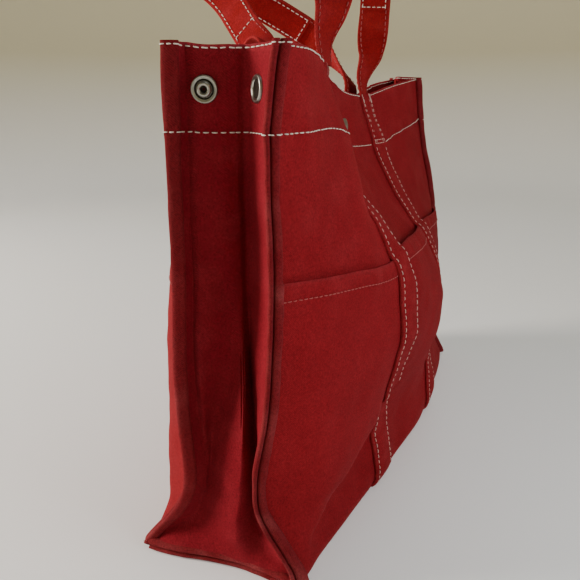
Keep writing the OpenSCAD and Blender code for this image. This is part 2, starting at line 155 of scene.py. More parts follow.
# ------------------------------------------------------- how the walls hang
# Distance of each wall from the middle plane: one list per station along x,
# with one value for each height in ROWS.
ROWS = [0, 6, 14, 24, 36, 48, 62, 78, 92, 108, 125, 142, 160, 178, 195, 212, 230, 248, 262, 280,
        300]
FRONT = {
    -190: [52, 50, 47.5, 42, 33.5, 27.3, 25.8, 27.3, 30.2, 33.3, 35.3, 36.5, 37.6, 38.3, 38.5,
           38.2, 37.5, 37.6, 38, 40, 43],
    -160: [53, 52.5, 51, 49.5, 50, 51, 51.5, 52, 52.5, 53, 53.2, 52.5, 51, 49, 46.5, 44.5, 43,
           42, 41.5, 40.8, 41],
    -125: [56, 56, 54, 51, 52, 57.5, 61, 63, 64, 65, 65.5, 64.8, 62.8, 59.8, 55.5, 51, 47, 43.5,
           41, 37, 33.5],
    -95: [58.5, 59, 57, 53.8, 52.5, 55, 62, 66.5, 69, 71.5, 72.8, 72, 70, 66.3, 60.8, 54.5, 50,
          45, 40, 32.5, 25],
    -65: [61.5, 62.5, 63.5, 62, 60, 57.5, 58.5, 63, 67.8, 73.5, 77.3, 76.5, 74.3, 67.5, 56.5,
          45.5, 37.5, 31, 26, 19.5, 13],
    -32: [64, 65, 64, 62, 60, 60.5, 63.5, 69.5, 74, 78, 79.8, 78.8, 75, 65.5, 51, 38.5, 28.5,
          19.5, 14.5, 10.5, 7.5],
    0: [67, 68, 67, 65.5, 64.5, 66, 69.5, 74.5, 78.5, 81, 81.5, 79.5, 73.5, 63, 48.5, 35.5, 24.5,
        13.5, 6.2, 4.6, 5.0],
    32: [69, 70, 69.5, 68, 67.3, 68.3, 71, 75, 79, 81.5, 81.5, 78, 70.5, 60, 46.5, 33.5, 22, 12.5,
         7.5, 5, 2],
    65: [67, 68.5, 69.5, 69.2, 67.5, 65.2, 63.6, 63.4, 65, 67.5, 69.2, 68.8, 63.8, 55.5, 44.5,
         33.5, 23.5, 15, 10.5, 3.8, -3.0],
    100: [65, 66, 66.3, 65, 62, 59.5, 57.5, 57.2, 57.8, 59, 60.2, 60, 56, 49, 40, 31, 23, 17, 13,
          7.5, 2.5],
    130: [64, 64.5, 63.5, 61, 57.5, 54, 52, 51.5, 52, 52.7, 53.3, 53, 50, 44, 37, 30.5, 24.5,
          19.5, 16, 11.5, 7.5],
    160: [61.5, 61, 58.5, 55, 51.5, 49, 48, 48, 48.5, 49, 49.3, 48.5, 45.2, 41, 35.5, 30, 25, 21,
          18.5, 15.5, 12],
    190: [57, 55, 50.5, 45.5, 41.5, 39.8, 39.8, 40.5, 41.5, 42, 41.5, 39.5, 36.5, 34.5, 31.5,
          27.5, 22.8, 19.5, 17, 15, 12.5]}
BACK = {
    -190: [53, 49, 43, 34.5, 26, 20.2, 18.2, 18.8, 19.8, 20.4, 20.4, 19.8, 18.6, 17.4, 16.8, 16.4,
           16, 15.6, 15.2, 14.6, 13.8],
    -160: [54.5, 55, 54.5, 54.5, 55.5, 55.5, 55.3, 53.5, 51.8, 50.6, 49.3, 47.5, 45, 41.5, 37, 33,
           30, 27.5, 26, 24.5, 23.5],
    -125: [56.5, 57.5, 57.5, 57, 57, 58, 60, 61.5, 62.5, 62.5, 61.5, 59.5, 56, 51, 45.5, 40.5,
           36.5, 33.5, 31.5, 29.5, 28],
    -95: [58.5, 58.5, 57.5, 57, 57.5, 59, 62, 65, 67.5, 68.5, 67.5, 65, 61, 55, 48, 42, 37, 33,
          31, 28.5, 26.5],
    -65: [61, 61.5, 61, 59.5, 58.5, 59.5, 62.5, 66, 69, 71, 71, 69, 64.5, 57.5, 49, 41.5, 35,
          29.5, 27, 24.5, 22.5],
    -32: [64, 64.5, 64, 63, 62.5, 63, 65.5, 69, 72, 74, 74, 71.5, 66.5, 58, 48, 39, 31, 23.5, 19,
          15.5, 13.5],
    0: [66, 67, 66.5, 65.5, 65, 66, 68, 71, 74, 76, 76, 73, 67, 58, 47, 37, 27, 17, 8.5, 7.0, 8],
    32: [67.5, 68, 67.5, 67, 67, 67.5, 68.5, 70, 71, 71.5, 70, 66.5, 60.5, 52, 42.5, 34, 26, 19,
         14.5, 11, 9.5],
    65: [67, 67.5, 67.3, 67, 66.7, 66.5, 66.5, 66.5, 66.5, 65.5, 62.5, 58.5, 53, 46, 38.5, 32,
         26.5, 21, 17.5, 14, 12],
    100: [65, 65.5, 65, 64.5, 64, 64, 64, 63.5, 63, 61.5, 58.5, 54.5, 49.5, 43.5, 37.5, 32, 27.5,
          23, 20, 17, 14.5],
    130: [63.5, 63.5, 62.5, 61.5, 61, 61.5, 61.5, 61, 60, 58, 55.5, 52, 47.5, 42.5, 37, 32, 27.5,
          23.5, 21, 17.5, 15],
    160: [60, 59.5, 58, 57, 56.5, 57.5, 58, 57.5, 56, 54.5, 52, 49, 45, 41, 36, 31.5, 27, 23, 20,
          16.5, 13.5],
    190: [56, 53, 49, 44.5, 41, 39.5, 39.5, 40.5, 41, 41, 40, 38.5, 36.5, 33, 29.5, 26.5, 23,
          19.5, 16.5, 13, 10]}
# Each of these is (x stations, heights).
MOUTH = ([-190, -130, -95, -65, 0, 65, 130, 190],
         [301, 301, 299.3, 297.8, 282.5, 280, 290, 297])
FRONT_POCKET = ([-190, -130, -77, -50, 0, 40, 80, 130, 190],
                [187, 180.5, 175, 178.5, 173, 172.5, 171.5, 169, 166])
BACK_POCKET = ([-190, -120, -60, 0, 60, 120, 190], [186, 180, 176, 172, 170, 171, 175])
CREASE = ([-172, -160, -125, -95, -65, -40], [20, 30, 49, 66, 80, 88])
# How far the cloth stands out beyond the left end at the ground: (y stations, distances).
FOOT = ([-60, -52, -40, -26, -12, 1.4, 14.6, 27.5, 41, 49, 60],
        [0.0, -1.0, -3.6, -4.8, -4.7, -3.8, -1.4, 1.7, 4.1, 4.2, 3.8])


def top_z(x):
    return smooth(*MOUTH, x)


def hem_rise(x):
    """Share of the wall's height at which the turned hem ends."""
    return 1 - (HEM + 4.0 * bell(np.asarray(x, float) + 72, 24)) / top_z(x)


def crease_z(x):
    return smooth(*CREASE, np.clip(x, -172, -40))


def crease(x, z):
    """The crease low on the front wall's left half: full above, tucked in sharply below."""
    above = z - crease_z(x)
    strength = ease((x + 174) / 18) * ease((-30 - x) / 34)
    full = 1.6 * np.exp(-np.clip(above, 0, None) / 10.0)
    tucked = (-3.6 * ease(-above / 5.0) * np.exp(-np.clip(-above - 5, 0, None) / 13.0)
              + 1.6 * (1 - ease(-above / 3.0)))
    return strength * np.where(above >= 0, full, tucked)


def crease_wear(x, z):
    """Rubbing along the fold above the crease."""
    return 0.22 * bell(z - crease_z(x) - 1, 2.6) * ease((x + 170) / 20) * ease((-50 - x) / 20)


def foot_out(y, z):
    """How far the cloth stands out beyond the left end close to the ground."""
    return smooth(*FOOT, np.clip(y, -60, 60)) * ease((24 - z) / 20)


def foot_shift(x, y, z):
    """foot_out, fading away from the left end."""
    return foot_out(y, z) * ease((-148 - x) / 42)


def lift(x):
    """Height of the cloth off the floor where a strap passes under it."""
    return 2.1 * ease((STRAP_HALF + 5.5 - np.abs(np.abs(x) - STRAP_X)) / 4.5)


class Wall:
    """A long wall. Points on it are given by x and rise, a share of the wall's height."""

    def __init__(self, side, name, table, pocket, seed, snap):
        self.side, self.name, self.pocket, self.seed = side, name, pocket, seed
        self.snap = snap                # kind of snap half it carries
        self.body = f"{name}_wall"
        self.stations = sorted(table)
        self.table = [table[x] for x in self.stations]

    def pocket_rise(self, x):
        """Share of the wall's height at which the pocket's mouth lies."""
        return smooth(*self.pocket, x) / top_z(x)

    def depth(self, x, rise):
        """Distance from the middle plane."""
        x, rise = np.broadcast_arrays(np.asarray(x, float), np.asarray(rise, float))
        heights = np.clip(rise.ravel(), 0, 1) * NOMINAL_HEIGHT
        per_station = np.array([smooth(ROWS, column, heights) for column in self.table])
        y = smooth(self.stations, per_station, x.ravel()).reshape(x.shape)
        mouth_z = top_z(x)
        z = rise * mouth_z
        inside = ease((END_X - np.abs(x)) / 14) * ease(z / 18)
        y = y + inside * (0.9 * ripple(x, z * 0.6, self.seed, 45, 150)
                          + 0.22 * ripple(x, z, self.seed + 1, 14, 40))
        if self.side < 0:
            # the crease, and a hollow by the left strap near the mouth
            y = y + crease(x, z)
            y = y - (4.8 * ease((x + 88) / 11) * ease((-20 - x) / 30)
                     * ease((z - 198) / 18) * ease((296 - z) / 13))
        # puckers along the sewn edges of the mouth and the hem, none around the snap
        calm = ease((np.hypot(x, z - SNAP_RISE * mouth_z) - 9) / 6)
        sewn = bell(z - mouth_z * hem_rise(x), 5.0) + 0.8 * bell(z - mouth_z, 6.0)
        y = y + calm * sewn * 0.34 * ripple(x, z * 0.15, self.seed + 2, 8, 18)
        # the cloth draws in beside each strap
        beside = bell(np.abs(np.abs(x) - STRAP_X) - 15.0, 3.0)
        draw_in = 1 + 0.5 * ripple(z, x * 0.1, self.seed + 3, 18, 40)
        y = y - 0.35 * beside * draw_in * inside * calm
        return y - 5 * round_off(z, 6)

    def base(self, x, rise):
        """Points on the wall's outer face."""
        x, rise = np.broadcast_arrays(np.asarray(x, float), np.asarray(rise, float))
        z = rise * top_z(x)
        lifted = lift(x) * ease(1 - z / 14)
        y = self.side * self.depth(x, rise)
        if self.side > 0:               # the mouth rises towards the left end
            z = z + 1.7 * ease((-150 - x) / 40) * rise**8
        return xyz(x - foot_shift(x, y, z), y, z + lifted)

    def normal(self, x, rise):
        step_x, step_rise = 0.6, 0.0022
        rise = np.clip(rise, 0, 1 - step_rise)
        run = self.base(x + step_x, rise) - self.base(x - step_x, rise)
        climb = self.base(x, rise + step_rise) - self.base(x, np.clip(rise - step_rise, 0, 1))
        return unit(np.cross(run, climb)) * -self.side

    def at(self, x, rise, offset=0.0):
        """Points off the outer face, kept above the floor."""
        offset = np.asarray(offset, float)
        points = self.base(x, rise) + self.normal(x, rise) * offset[..., None]
        floor = 0.02 + 0.12 * np.clip(4.5 - offset, 0, 6.5)
        points[..., 2] = np.maximum(points[..., 2], floor)
        return points

    def gape(self, x, rise):
        """How far the pocket stands open between the straps and beside them."""
        away = np.abs(x)
        inner, outer = STRAP_X - STRAP_HALF, STRAP_X + STRAP_HALF
        share = np.where(away < inner, (away + inner) / (2 * inner),
                         np.where(away > outer, (away - outer) / (END_X - 2 - outer), 0))
        widest = np.where(away < inner, 5.5, 2.6)
        bow = np.clip(np.sin(np.pi * np.clip(share, 0, 1)), 0, 1) ** (1.0 if self.side > 0 else 0.62)
        return widest * bow * np.clip(rise / self.pocket_rise(x), 0, 1) ** 3

    def strap_offset(self, x, rise):
        """Offset of a strap's underside, which steps out where it runs over the pocket."""
        return 0.15 + 2.35 * ease((self.pocket_rise(x) + 0.012 - rise) / 0.024)


front = Wall(-1, "front", FRONT, FRONT_POCKET, 100, "socket")
back = Wall(1, "back", BACK, BACK_POCKET, 200, "stud")
WALLS = (front, back)


# --------------------------------------------------------------- mesh tools
def make(name, verts, faces, uv=None, wear=None):
    """A smooth-shaded mesh object from points in mm."""
    mesh = bpy.data.meshes.new(name)
    mesh.from_pydata((np.asarray(verts, float) * MM).tolist(), [], faces)
    if uv is not None:
        layer = mesh.uv_layers.new(name="UVMap")
        loops = np.zeros(len(mesh.loops), np.int32)
        mesh.loops.foreach_get("vertex_index", loops)
        layer.data.foreach_set("uv", (uv[loops] * MM).astype(np.float32).ravel())
    if wear is not None:
        attribute = mesh.attributes.new("wear", "FLOAT", "POINT")
        attribute.data.foreach_set("value", np.asarray(wear, np.float32))
    mesh.polygons.foreach_set("use_smooth", [True] * len(mesh.polygons))
    mesh.update()
    mesh.set_sharp_from_angle(angle=math.radians(82))
    ob = bpy.data.objects.new(name, mesh)
    bpy.context.scene.collection.objects.link(ob)
    return ob


def dress(ob, mat, motion, *nodes, slot="canvas", copies=1):
    """Gives a piece some copies of its material, its motion and the CAD it replaces.

    motion is a body's name, which the piece is attached to; anything else, such as (body, other body,
    start, end) for a blend between two, only has the piece's transform baked in, and no blend is
    made.
    """
    for _ in range(copies):
        ob.data.materials.append(mat)
    if isinstance(motion, str):
        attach(ob, motion)
    else:
        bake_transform(ob)
    if nodes:
        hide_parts(*nodes)


def run_length(path):
    return np.concatenate([[0], np.cumsum(np.linalg.norm(np.diff(path, axis=0), axis=1))])


def shell(name, outer, inner, wear=None, flip=False, open_at=None):
    """A piece of cloth between two grids of points (rows, columns, 3).

    open_at leaves out the wall at the first (0) or last (1) column.
    """
    rows, cols = outer.shape[:2]
    count = rows * cols
    a = (np.arange(rows - 1)[:, None] * cols + np.arange(cols - 1)[None, :]).ravel()
    b, c, d = a + cols, a + cols + 1, a + 1
    quads = [(a, d, c, b), (a + count, b + count, c + count, d + count)]
    j = np.arange(cols - 1)
    quads.append((j, j + count, j + 1 + count, j + 1))
    j = j + (rows - 1) * cols
    quads.append((j, j + 1, j + 1 + count, j + count))
    j = np.arange(rows - 1) * cols
    if open_at != 0:
        quads.append((j, j + cols, j + cols + count, j + count))
    j = j + cols - 1
    if open_at != 1:
        quads.append((j, j + count, j + cols + count, j + cols))
    faces = np.concatenate([np.stack(quad, 1) for quad in quads])
    if flip:
        faces = faces[:, ::-1]
    across = np.cumsum(np.linalg.norm(np.diff(outer, axis=1), axis=2), axis=1)
    up = np.cumsum(np.linalg.norm(np.diff(outer, axis=0), axis=2), axis=0)
    uv = np.stack([np.concatenate([np.zeros((rows, 1)), across], 1),
                   np.concatenate([np.zeros((1, cols)), up], 0)], -1).reshape(-1, 2)
    wear = np.zeros(count) if wear is None else wear.ravel()
    verts = np.concatenate([outer.reshape(-1, 3), inner.reshape(-1, 3)])
    return make(name, verts, faces.tolist(), np.tile(uv, (2, 1)), np.tile(wear, 2))


def ring_faces(rings, sides, first=0, capped=True):
    """Quads joining a stack of rings, with a face over each end if capped."""
    faces = []
    for i in range(rings - 1):
        low, high = first + i * sides, first + (i + 1) * sides
        for j in range(sides):
            k = (j + 1) % sides
            faces.append([low + j, low + k, high + k, high + j])
    if capped:
        last = first + (rings - 1) * sides
        faces.append([first + j for j in range(sides)][::-1])
        faces.append([last + j for j in range(sides)])
    return faces


def tube(name, path, wide, out, half_wide, half_out, wear=0.0, sides=14, power=2.0):
    """A rounded roll along path, its section turned to the directions wide and out."""
    count = len(path)
    angle = circle(sides)
    half_wide, half_out = (np.broadcast_to(np.asarray(a, float), (count,))
                           for a in (half_wide, half_out))
    verts = (path[:, None, :]
             + wide[:, None, :] * (half_wide[:, None] * squared(np.cos(angle), 2 / power))[..., None]
             + out[:, None, :] * (half_out[:, None] * squared(np.sin(angle), 2 / power))[..., None])
    around = angle * (half_wide.mean() + half_out.mean()) / 2
    uv = np.stack([np.tile(around, count), np.repeat(run_length(path), sides)], -1)
    return make(name, verts.reshape(-1, 3), ring_faces(count, sides), uv,
                np.broadcast_to(wear, (count, sides)).ravel())


# Rings of a stitch: place along its length, height above the cloth in mm, share of its radius.
STITCH = [(-0.5, -0.15, 0.35), (-0.42, 0.12, 0.85), (-0.18, 0.34, 1.0),
          (0.18, 0.34, 1.0), (0.42, 0.12, 0.85), (0.5, -0.15, 0.35)]
STITCH_SIDES = 6


class Thread:
    """Rows of stitches gathered into one object."""

    def __init__(self, name):
        self.name, self.rings, self.faces = name, [], []
        self.random = np.random.default_rng(sum(map(ord, name)))

    def row(self, path, normals, pitch=4.4, length=3.0, radius=0.33, start=1.0):
        normals = np.broadcast_to(normals, path.shape)
        run = run_length(path)
        places = np.arange(start, run[-1], pitch)

        def sample(where, table):
            return np.stack([np.interp(where, run, table[:, k]) for k in range(3)], -1)

        centre = sample(places, path)
        along = unit(sample(places + 0.6, path) - sample(places - 0.6, path))
        out = square_to(sample(places, normals), along)
        side = np.cross(along, out)
        angle = circle(STITCH_SIDES)[:, None]
        for k in range(len(places)):
            stitch = length * (1 + 0.08 * self.random.standard_normal())
            skew = side[k] * 0.18 * self.random.standard_normal()
            section = side[k] * np.cos(angle) + out[k] * (np.sin(angle) * 0.8)
            first = len(self.rings) * STITCH_SIDES
            for place, height, girth in STITCH:
                middle = centre[k] + along[k] * (place * stitch) + out[k] * height + skew * place
                self.rings.append(middle + section * (radius * girth))
            self.faces += ring_faces(len(STITCH), STITCH_SIDES, first)

    def build(self):
        return make(self.name, np.concatenate(self.rings), self.faces)


# ---------------------------------------------------------------- materials
class Shader:
    """A material under construction around one Principled surface."""

    def __init__(self, name, **settings):
        self.material = bpy.data.materials.new(name)
        self.material.use_nodes = True
        self.tree = self.material.node_tree
        self.tree.nodes.clear()
        output = self.node("OutputMaterial")
        self.surface = self.node("BsdfPrincipled", **settings)
        self.feed(output.inputs[0], self.surface.outputs[0])
        self.place = self.node("TexCoord").outputs["Object"]

    def feed(self, socket, value):
        """Links a socket, or sets it to a number or an RGB colour."""
        if isinstance(value, bpy.types.NodeSocket):
            self.tree.links.new(value, socket)
        else:
            socket.default_value = (*value, 1) if isinstance(value, tuple) else value

    def set(self, node, **settings):
        """Capitalised settings are inputs; the others are properties."""
        for key, value in settings.items():
            if key[0].isupper():
                self.feed(node.inputs[key.replace("_", " ")], value)
            else:
                setattr(node, key, value)

    def node(self, kind, **settings):
        node = self.tree.nodes.new("ShaderNode" + kind)
        self.set(node, **settings)
        return node

    def noise(self, scale, detail, **settings):
        return self.node("TexNoise", Vector=self.place, Scale=scale, Detail=detail,
                         **settings).outputs["Fac"]

    def bump(self, height, strength, distance, **settings):
        return self.node("Bump", Height=height, Strength=strength, Distance=distance,
                         **settings).outputs[0]

    def math(self, operation, *values, clamp=False):
        node = self.node("Math", operation=operation, use_clamp=clamp)
        for socket, value in zip(node.inputs, values):
            self.feed(socket, value)
        return node.outputs[0]

    def plus(self, a, b):
        return self.math("ADD", a, b)

    def minus(self, a, b):
        return self.math("SUBTRACT", a, b)

    def times(self, a, b, clamp=False):
        return self.math("MULTIPLY", a, b, clamp=clamp)

    def mix(self, share, a, b, mode="MIX"):
        node = self.node("Mix", data_type="RGBA", blend_type=mode)
        for index, value in ((0, share), (6, a), (7, b)):
            self.feed(node.inputs[index], value)
        return node.outputs[2]


def canvas(name, base, faded, weave=0.75, depth=0.10, wear_gain=1.0, twill=0.12, check=0.05):
    """Cotton twill: diagonal ribs, uneven dye, paler where it is rubbed, a little fuzz.

    weave is the rib spacing and depth its relief, in mm; twill and check shade the ribs.
    """
    sh = Shader(name, Roughness=0.88, Specular_IOR_Level=0.08, Sheen_Weight=0.03,
                Sheen_Roughness=0.45, Sheen_Tint=(1.0, 0.12, 0.12))
    uv = sh.node("UVMap", uv_map="UVMap").outputs[0]
    across, up = sh.node("SeparateXYZ", Vector=uv).outputs[:2]
    # ribs along one diagonal, with a slight wobble, and finer ones across them
    wobble = sh.times(sh.minus(sh.noise(160.0, 2.0), 0.5), 0.9)
    turns = 2 * math.pi / (weave * MM)
    diagonal = sh.plus(sh.times(across, turns * 0.8), sh.times(up, turns * 0.6))
    rib = sh.math("SINE", sh.plus(diagonal, sh.times(wobble, 3.0)))
    cross = sh.math("SINE", sh.plus(sh.times(across, turns * 1.1), sh.times(up, -turns * 1.6)))
    height = sh.plus(sh.times(rib, 0.5), sh.times(cross, 0.22))
    # dye: broad fading, mottling, then rubbed places
    broad = sh.noise(9.0, 3.0, Roughness=0.55)
    speck = sh.noise(900.0, 2.0, Roughness=0.7)
    mottle = sh.noise(70.0, 4.0, Roughness=0.7)
    dark = tuple(c * 0.72 for c in base)
    color = sh.mix(sh.times(sh.minus(broad, 0.35), 1.6, clamp=True), dark, base)
    fade = sh.times(sh.minus(mottle, 0.42), 1.1, clamp=True)
    color = sh.mix(sh.times(fade, 0.38), color, faded)
    wear = sh.node("Attribute", attribute_name="wear").outputs["Fac"]
    rub = sh.times(wear, sh.plus(sh.times(mottle, 1.5), 0.1))
    rubbed = tuple(min(1.0, c * gain) for c, gain in zip(faded, (1.15, 1.6, 1.5)))
    color = sh.mix(sh.times(rub, wear_gain, clamp=True), color, rubbed)
    # light and dark of the yarns
    woven = sh.plus(sh.times(rib, twill), sh.times(cross, check))
    grain = sh.plus(sh.plus(woven, sh.times(sh.minus(speck, 0.5), 1.5)), 1.0)
    grey = sh.node("CombineColor", Red=grain, Green=grain, Blue=grain).outputs[0]
    color = sh.mix(1.0, color, grey, "MULTIPLY")
    # soft unevenness under the weave's relief
    fuzz = sh.plus(height, sh.times(speck, 0.9))
    soft = sh.bump(sh.noise(38.0, 3.0), strength=0.35, distance=0.0018)
    relief = sh.bump(fuzz, strength=0.75, distance=depth * MM, Normal=soft)
    sh.set(sh.surface, Base_Color=color, Normal=relief)
    return sh.material


def thread_mat(name, color):
    """Twisted thread, a little uneven in colour."""
    sh = Shader(name, Roughness=0.6)
    shade = sh.mix(sh.noise(120.0, 3.0), tuple(c * 0.72 for c in color), color)
    twist = sh.node("TexWave", Vector=sh.place, Scale=900.0, Distortion=1.0,
                    bands_direction="DIAGONAL").outputs["Fac"]
    sh.set(sh.surface, Base_Color=shade, Normal=sh.bump(twist, strength=0.5, distance=0.0001))
    return sh.material


def metal(name, color, rough):
    """Stained, finely pitted metal."""
    sh = Shader(name, Metallic=1.0)
    stain = sh.noise(260.0, 5.0, Roughness=0.7)
    sh.set(sh.surface,
           Base_Color=sh.mix(stain, tuple(c * 0.55 for c in color), color),
           Roughness=sh.plus(sh.times(stain, 0.3), rough),
           Normal=sh.bump(sh.noise(1500.0, 2.0), strength=0.25, distance=0.0001))
    return sh.material


mat_wall = canvas("canvas_wall", base=(0.250, 0.0090, 0.0150), faded=(0.32, 0.026, 0.034))
# The ends' canvas is a darker, bluer copy of the wall canvas: painted shade for the ends, which turn
# away from the key light.
mat_gusset_shaded = canvas("canvas_gusset", base=(0.222, 0.0080, 0.0170), faded=(0.28, 0.022, 0.032),
                    twill=0.14)
mat_edge = canvas("canvas_edge", base=(0.205, 0.0120, 0.0180), faded=(0.36, 0.060, 0.068),
                  weave=0.72, depth=0.24, wear_gain=0.8, twill=0.16, check=0.28)
mat_strap = canvas("strap_cloth", base=(0.255, 0.0090, 0.0150), faded=(0.32, 0.024, 0.030))
# The loops' cloth is a lighter copy of the strap cloth: painted light for the loops, which stand up
# into the light above the mouth.
mat_handle_lit = canvas("handle_cloth", base=(0.275, 0.0090, 0.0120), faded=(0.34, 0.026, 0.028))
mat_inside = canvas("canvas_inside", base=(0.19, 0.0070, 0.0100), faded=(0.25, 0.020, 0.024))
mat_white = thread_mat("white_thread", color=(0.80, 0.74, 0.66))
mat_worn_white = thread_mat("worn_white_thread", color=(0.66, 0.46, 0.42))
mat_red_thread = thread_mat("red_thread", color=(0.40, 0.075, 0.075))
mat_snap = metal("snap_nickel", color=(0.44, 0.44, 0.39), rough=0.16)
mat_snap_dark = metal("snap_dark", color=(0.27, 0.25, 0.22), rough=0.32)
# Near-black sheet of painted shade, laid into the snaps' openings and a stud's groove where shade
# falls; these are not real holes.
mat_hollow_shade = metal("snap_hollow", color=(0.035, 0.028, 0.022), rough=0.45)


# -------------------------------------------------------------- wall pieces
ROLL_TOP = 6.0 / NOMINAL_HEIGHT      # the cloth rolls under the base below this rise
HALF_ACROSS = np.array([1.2, 3.5, 5.5, 7.4, 8.6, 9.1, 9.5, 9.9, 10.4, 11.2, 11.8, 12.25, 12.45,
                        12.5])       # strap columns, close together at the stitches and edges
HALF_ACROSS_BASE = np.array([3.5, 7.0, 9.0, 9.5, 10.0, 11.2, 12.0, 12.4, 12.5])


def rise_rows(step):
    """Row heights with extra rows where the cloth rolls under the base."""
    roll = np.array([0, 0.03, 0.12, 0.3, 0.6, 1.0, 1.6, 2.4, 3.4, 4.6, 6.0]) / NOMINAL_HEIGHT
    rest = np.linspace(ROLL_TOP, 1.0, int(round((1.0 - ROLL_TOP) / step)) + 1)[1:]
    return np.concatenate([roll, rest])


def columns(half, step=2.0):
    return np.linspace(-half, half, int(round(2 * half / step)) + 1)


def foot_wear(rise, gain):
    return gain * bell(rise * NOMINAL_HEIGHT, 5.0)


def panel(wall):
    """The wall's main layer, rolled over at the mouth."""
    x, rise = np.meshgrid(columns(END_X + 1.0), rise_rows(0.0062))
    below = top_z(x) * (1 - rise)
    drop = 1.5 * round_off(below, 1.8)
    wear = (0.45 * np.exp(-below / 1.6) + foot_wear(rise, 0.5)
            + 0.08 * patches(x, rise * NOMINAL_HEIGHT, 5 + wall.seed, 20, 60))
    if wall.side < 0:
        wear = wear + crease_wear(x, rise * top_z(x))
    inner = wall.at(x, rise, -CLOTH - np.where(below < 3.2, 1.5, 0) + drop)
    ob = shell(f"{wall.name}_panel_cloth", wall.at(x, rise, -drop), inner, wear, wall.side > 0)
    dress(ob, mat_wall, wall.body, f"{wall.name}_panel")


def hem_facing(wall):
    """The turned hem inside the mouth."""
    x, share = np.meshgrid(columns(END_X - 3), np.linspace(0, 1, 22))
    low = hem_rise(x) - 0.004
    rise = low + (1 - 3.4 / 292 - low) * share
    fold = 0.025 * np.cos(x / 7.0 + rise * 20)
    ob = shell(f"{wall.name}_hem_facing_cloth", wall.at(x, rise, -CLOTH - 0.15),
               wall.at(x, rise, -CLOTH - 1.45 + fold), flip=wall.side > 0)
    dress(ob, mat_inside, wall.body, f"{wall.name}_hem_facing")


def pocket(wall):
    """The pocket layer with a folded top edge."""
    x, rise = np.meshgrid(columns(END_X - 0.5), rise_rows(0.0104))
    mouth = wall.pocket_rise(x)
    stretched = ROLL_TOP + (rise - ROLL_TOP) / (1 - ROLL_TOP) * (mouth - ROLL_TOP)
    rise = np.where(rise <= ROLL_TOP, rise, stretched)
    below = (mouth - rise) * top_z(x)
    off = 0.25 + wall.gape(x, rise)
    lip = 0.55 * ease((11.5 - below) / 2.0) - 0.25 * bell(below - 9.5, 1.2)
    rounding = 0.9 * round_off(below, 1.3)
    pucker = 0.22 * bell(below - 6, 6.0) * ripple(x, rise * 30, 31 + wall.seed, 7, 16)
    wear = (0.34 * np.exp(-below / 1.1)
            + 0.10 * bell(below - 5, 5.0) * patches(x, rise * 60, 3, 9, 30)
            + foot_wear(rise, 0.35))
    if wall.side < 0:
        wear = wear + crease_wear(x, rise * top_z(x))
    ob = shell(f"{wall.name}_pocket_cloth",
               wall.at(x, rise, off + CLOTH + lip + pucker - rounding),
               wall.at(x, rise, off + np.where(below < 9, -0.05, 0) + rounding * 0.8),
               np.clip(wear, 0, 1), wall.side > 0)
    dress(ob, mat_wall, wall.body, f"{wall.name}_pocket")


def wall_strap(wall, end, end_name):
    """A strap sewn up the wall over the pocket."""
    centre = end * STRAP_X
    across = np.concatenate([-HALF_ACROSS[::-1], HALF_ACROSS])
    inset = STRAP_HALF - np.abs(across)
    thick = 2.0 * (1 - 0.78 * round_off(inset, 1.1)) - 0.42 * bell(np.abs(across) - STRAP_ROW, 0.55)
    x, rise = np.meshgrid(centre + across, rise_rows(0.0052))
    off = wall.strap_offset(x, rise)
    z = rise * top_z(x)
    puff = 0.14 * ripple(z, x * 0.2, 61 + int(centre) + wall.seed, 7, 15)
    wear = (0.26 * bell(STRAP_HALF - np.abs(x - centre), 0.9)
            + 0.14 * patches(z, x, 8, 8, 30))
    outer = wall.at(x, rise, off + thick + puff * np.clip(inset / 1.1, 0, 1))
    ob = shell(f"{wall.name}_{end_name}_strap_cloth", outer, wall.at(x, rise, off - 0.05),
               wear, wall.side > 0)
    dress(ob, mat_strap, wall.body, f"{wall.name}_{end_name}_strap", slot="webbing")


for wall in WALLS:
    panel(wall)
    hem_facing(wall)
    pocket(wall)
    for end, end_name in ENDS:
        wall_strap(wall, end, end_name)


# -------------------------------------------------------------------- seams
def corner_rolls(end, side, z):
    """How the two turned edges of a corner seam stand.

    Gives the directions out and wide (from the gusset's roll to the wall's), then for the
    gusset's and the wall's roll (shift out, shift wide, half width, half depth), and the
    thickening at the hem.
    """
    if end < 0 and side > 0:
        angle, gusset_roll, wall_roll = math.radians(28), (1.4, 1.8, 1.75, 3.9), (1.3, 1.7, 1.7, 3.2)
    elif end < 0:
        angle, gusset_roll, wall_roll = math.radians(58), (1.1, 1.55, 1.5, 2.9), (1.0, 2.3, 2.25, 2.5)
    else:
        angle, gusset_roll, wall_roll = math.radians(50), (1.2, 1.9, 1.85, 3.1), (1.2, 1.9, 1.85, 3.1)
    out = np.array([end * math.sin(angle), side * math.cos(angle), 0.0])
    wide = np.array([-end * math.cos(angle), side * math.sin(angle), 0.0])
    return out, wide, gusset_roll, wall_roll, 1 + 0.14 * ease((z - 256) / 3)


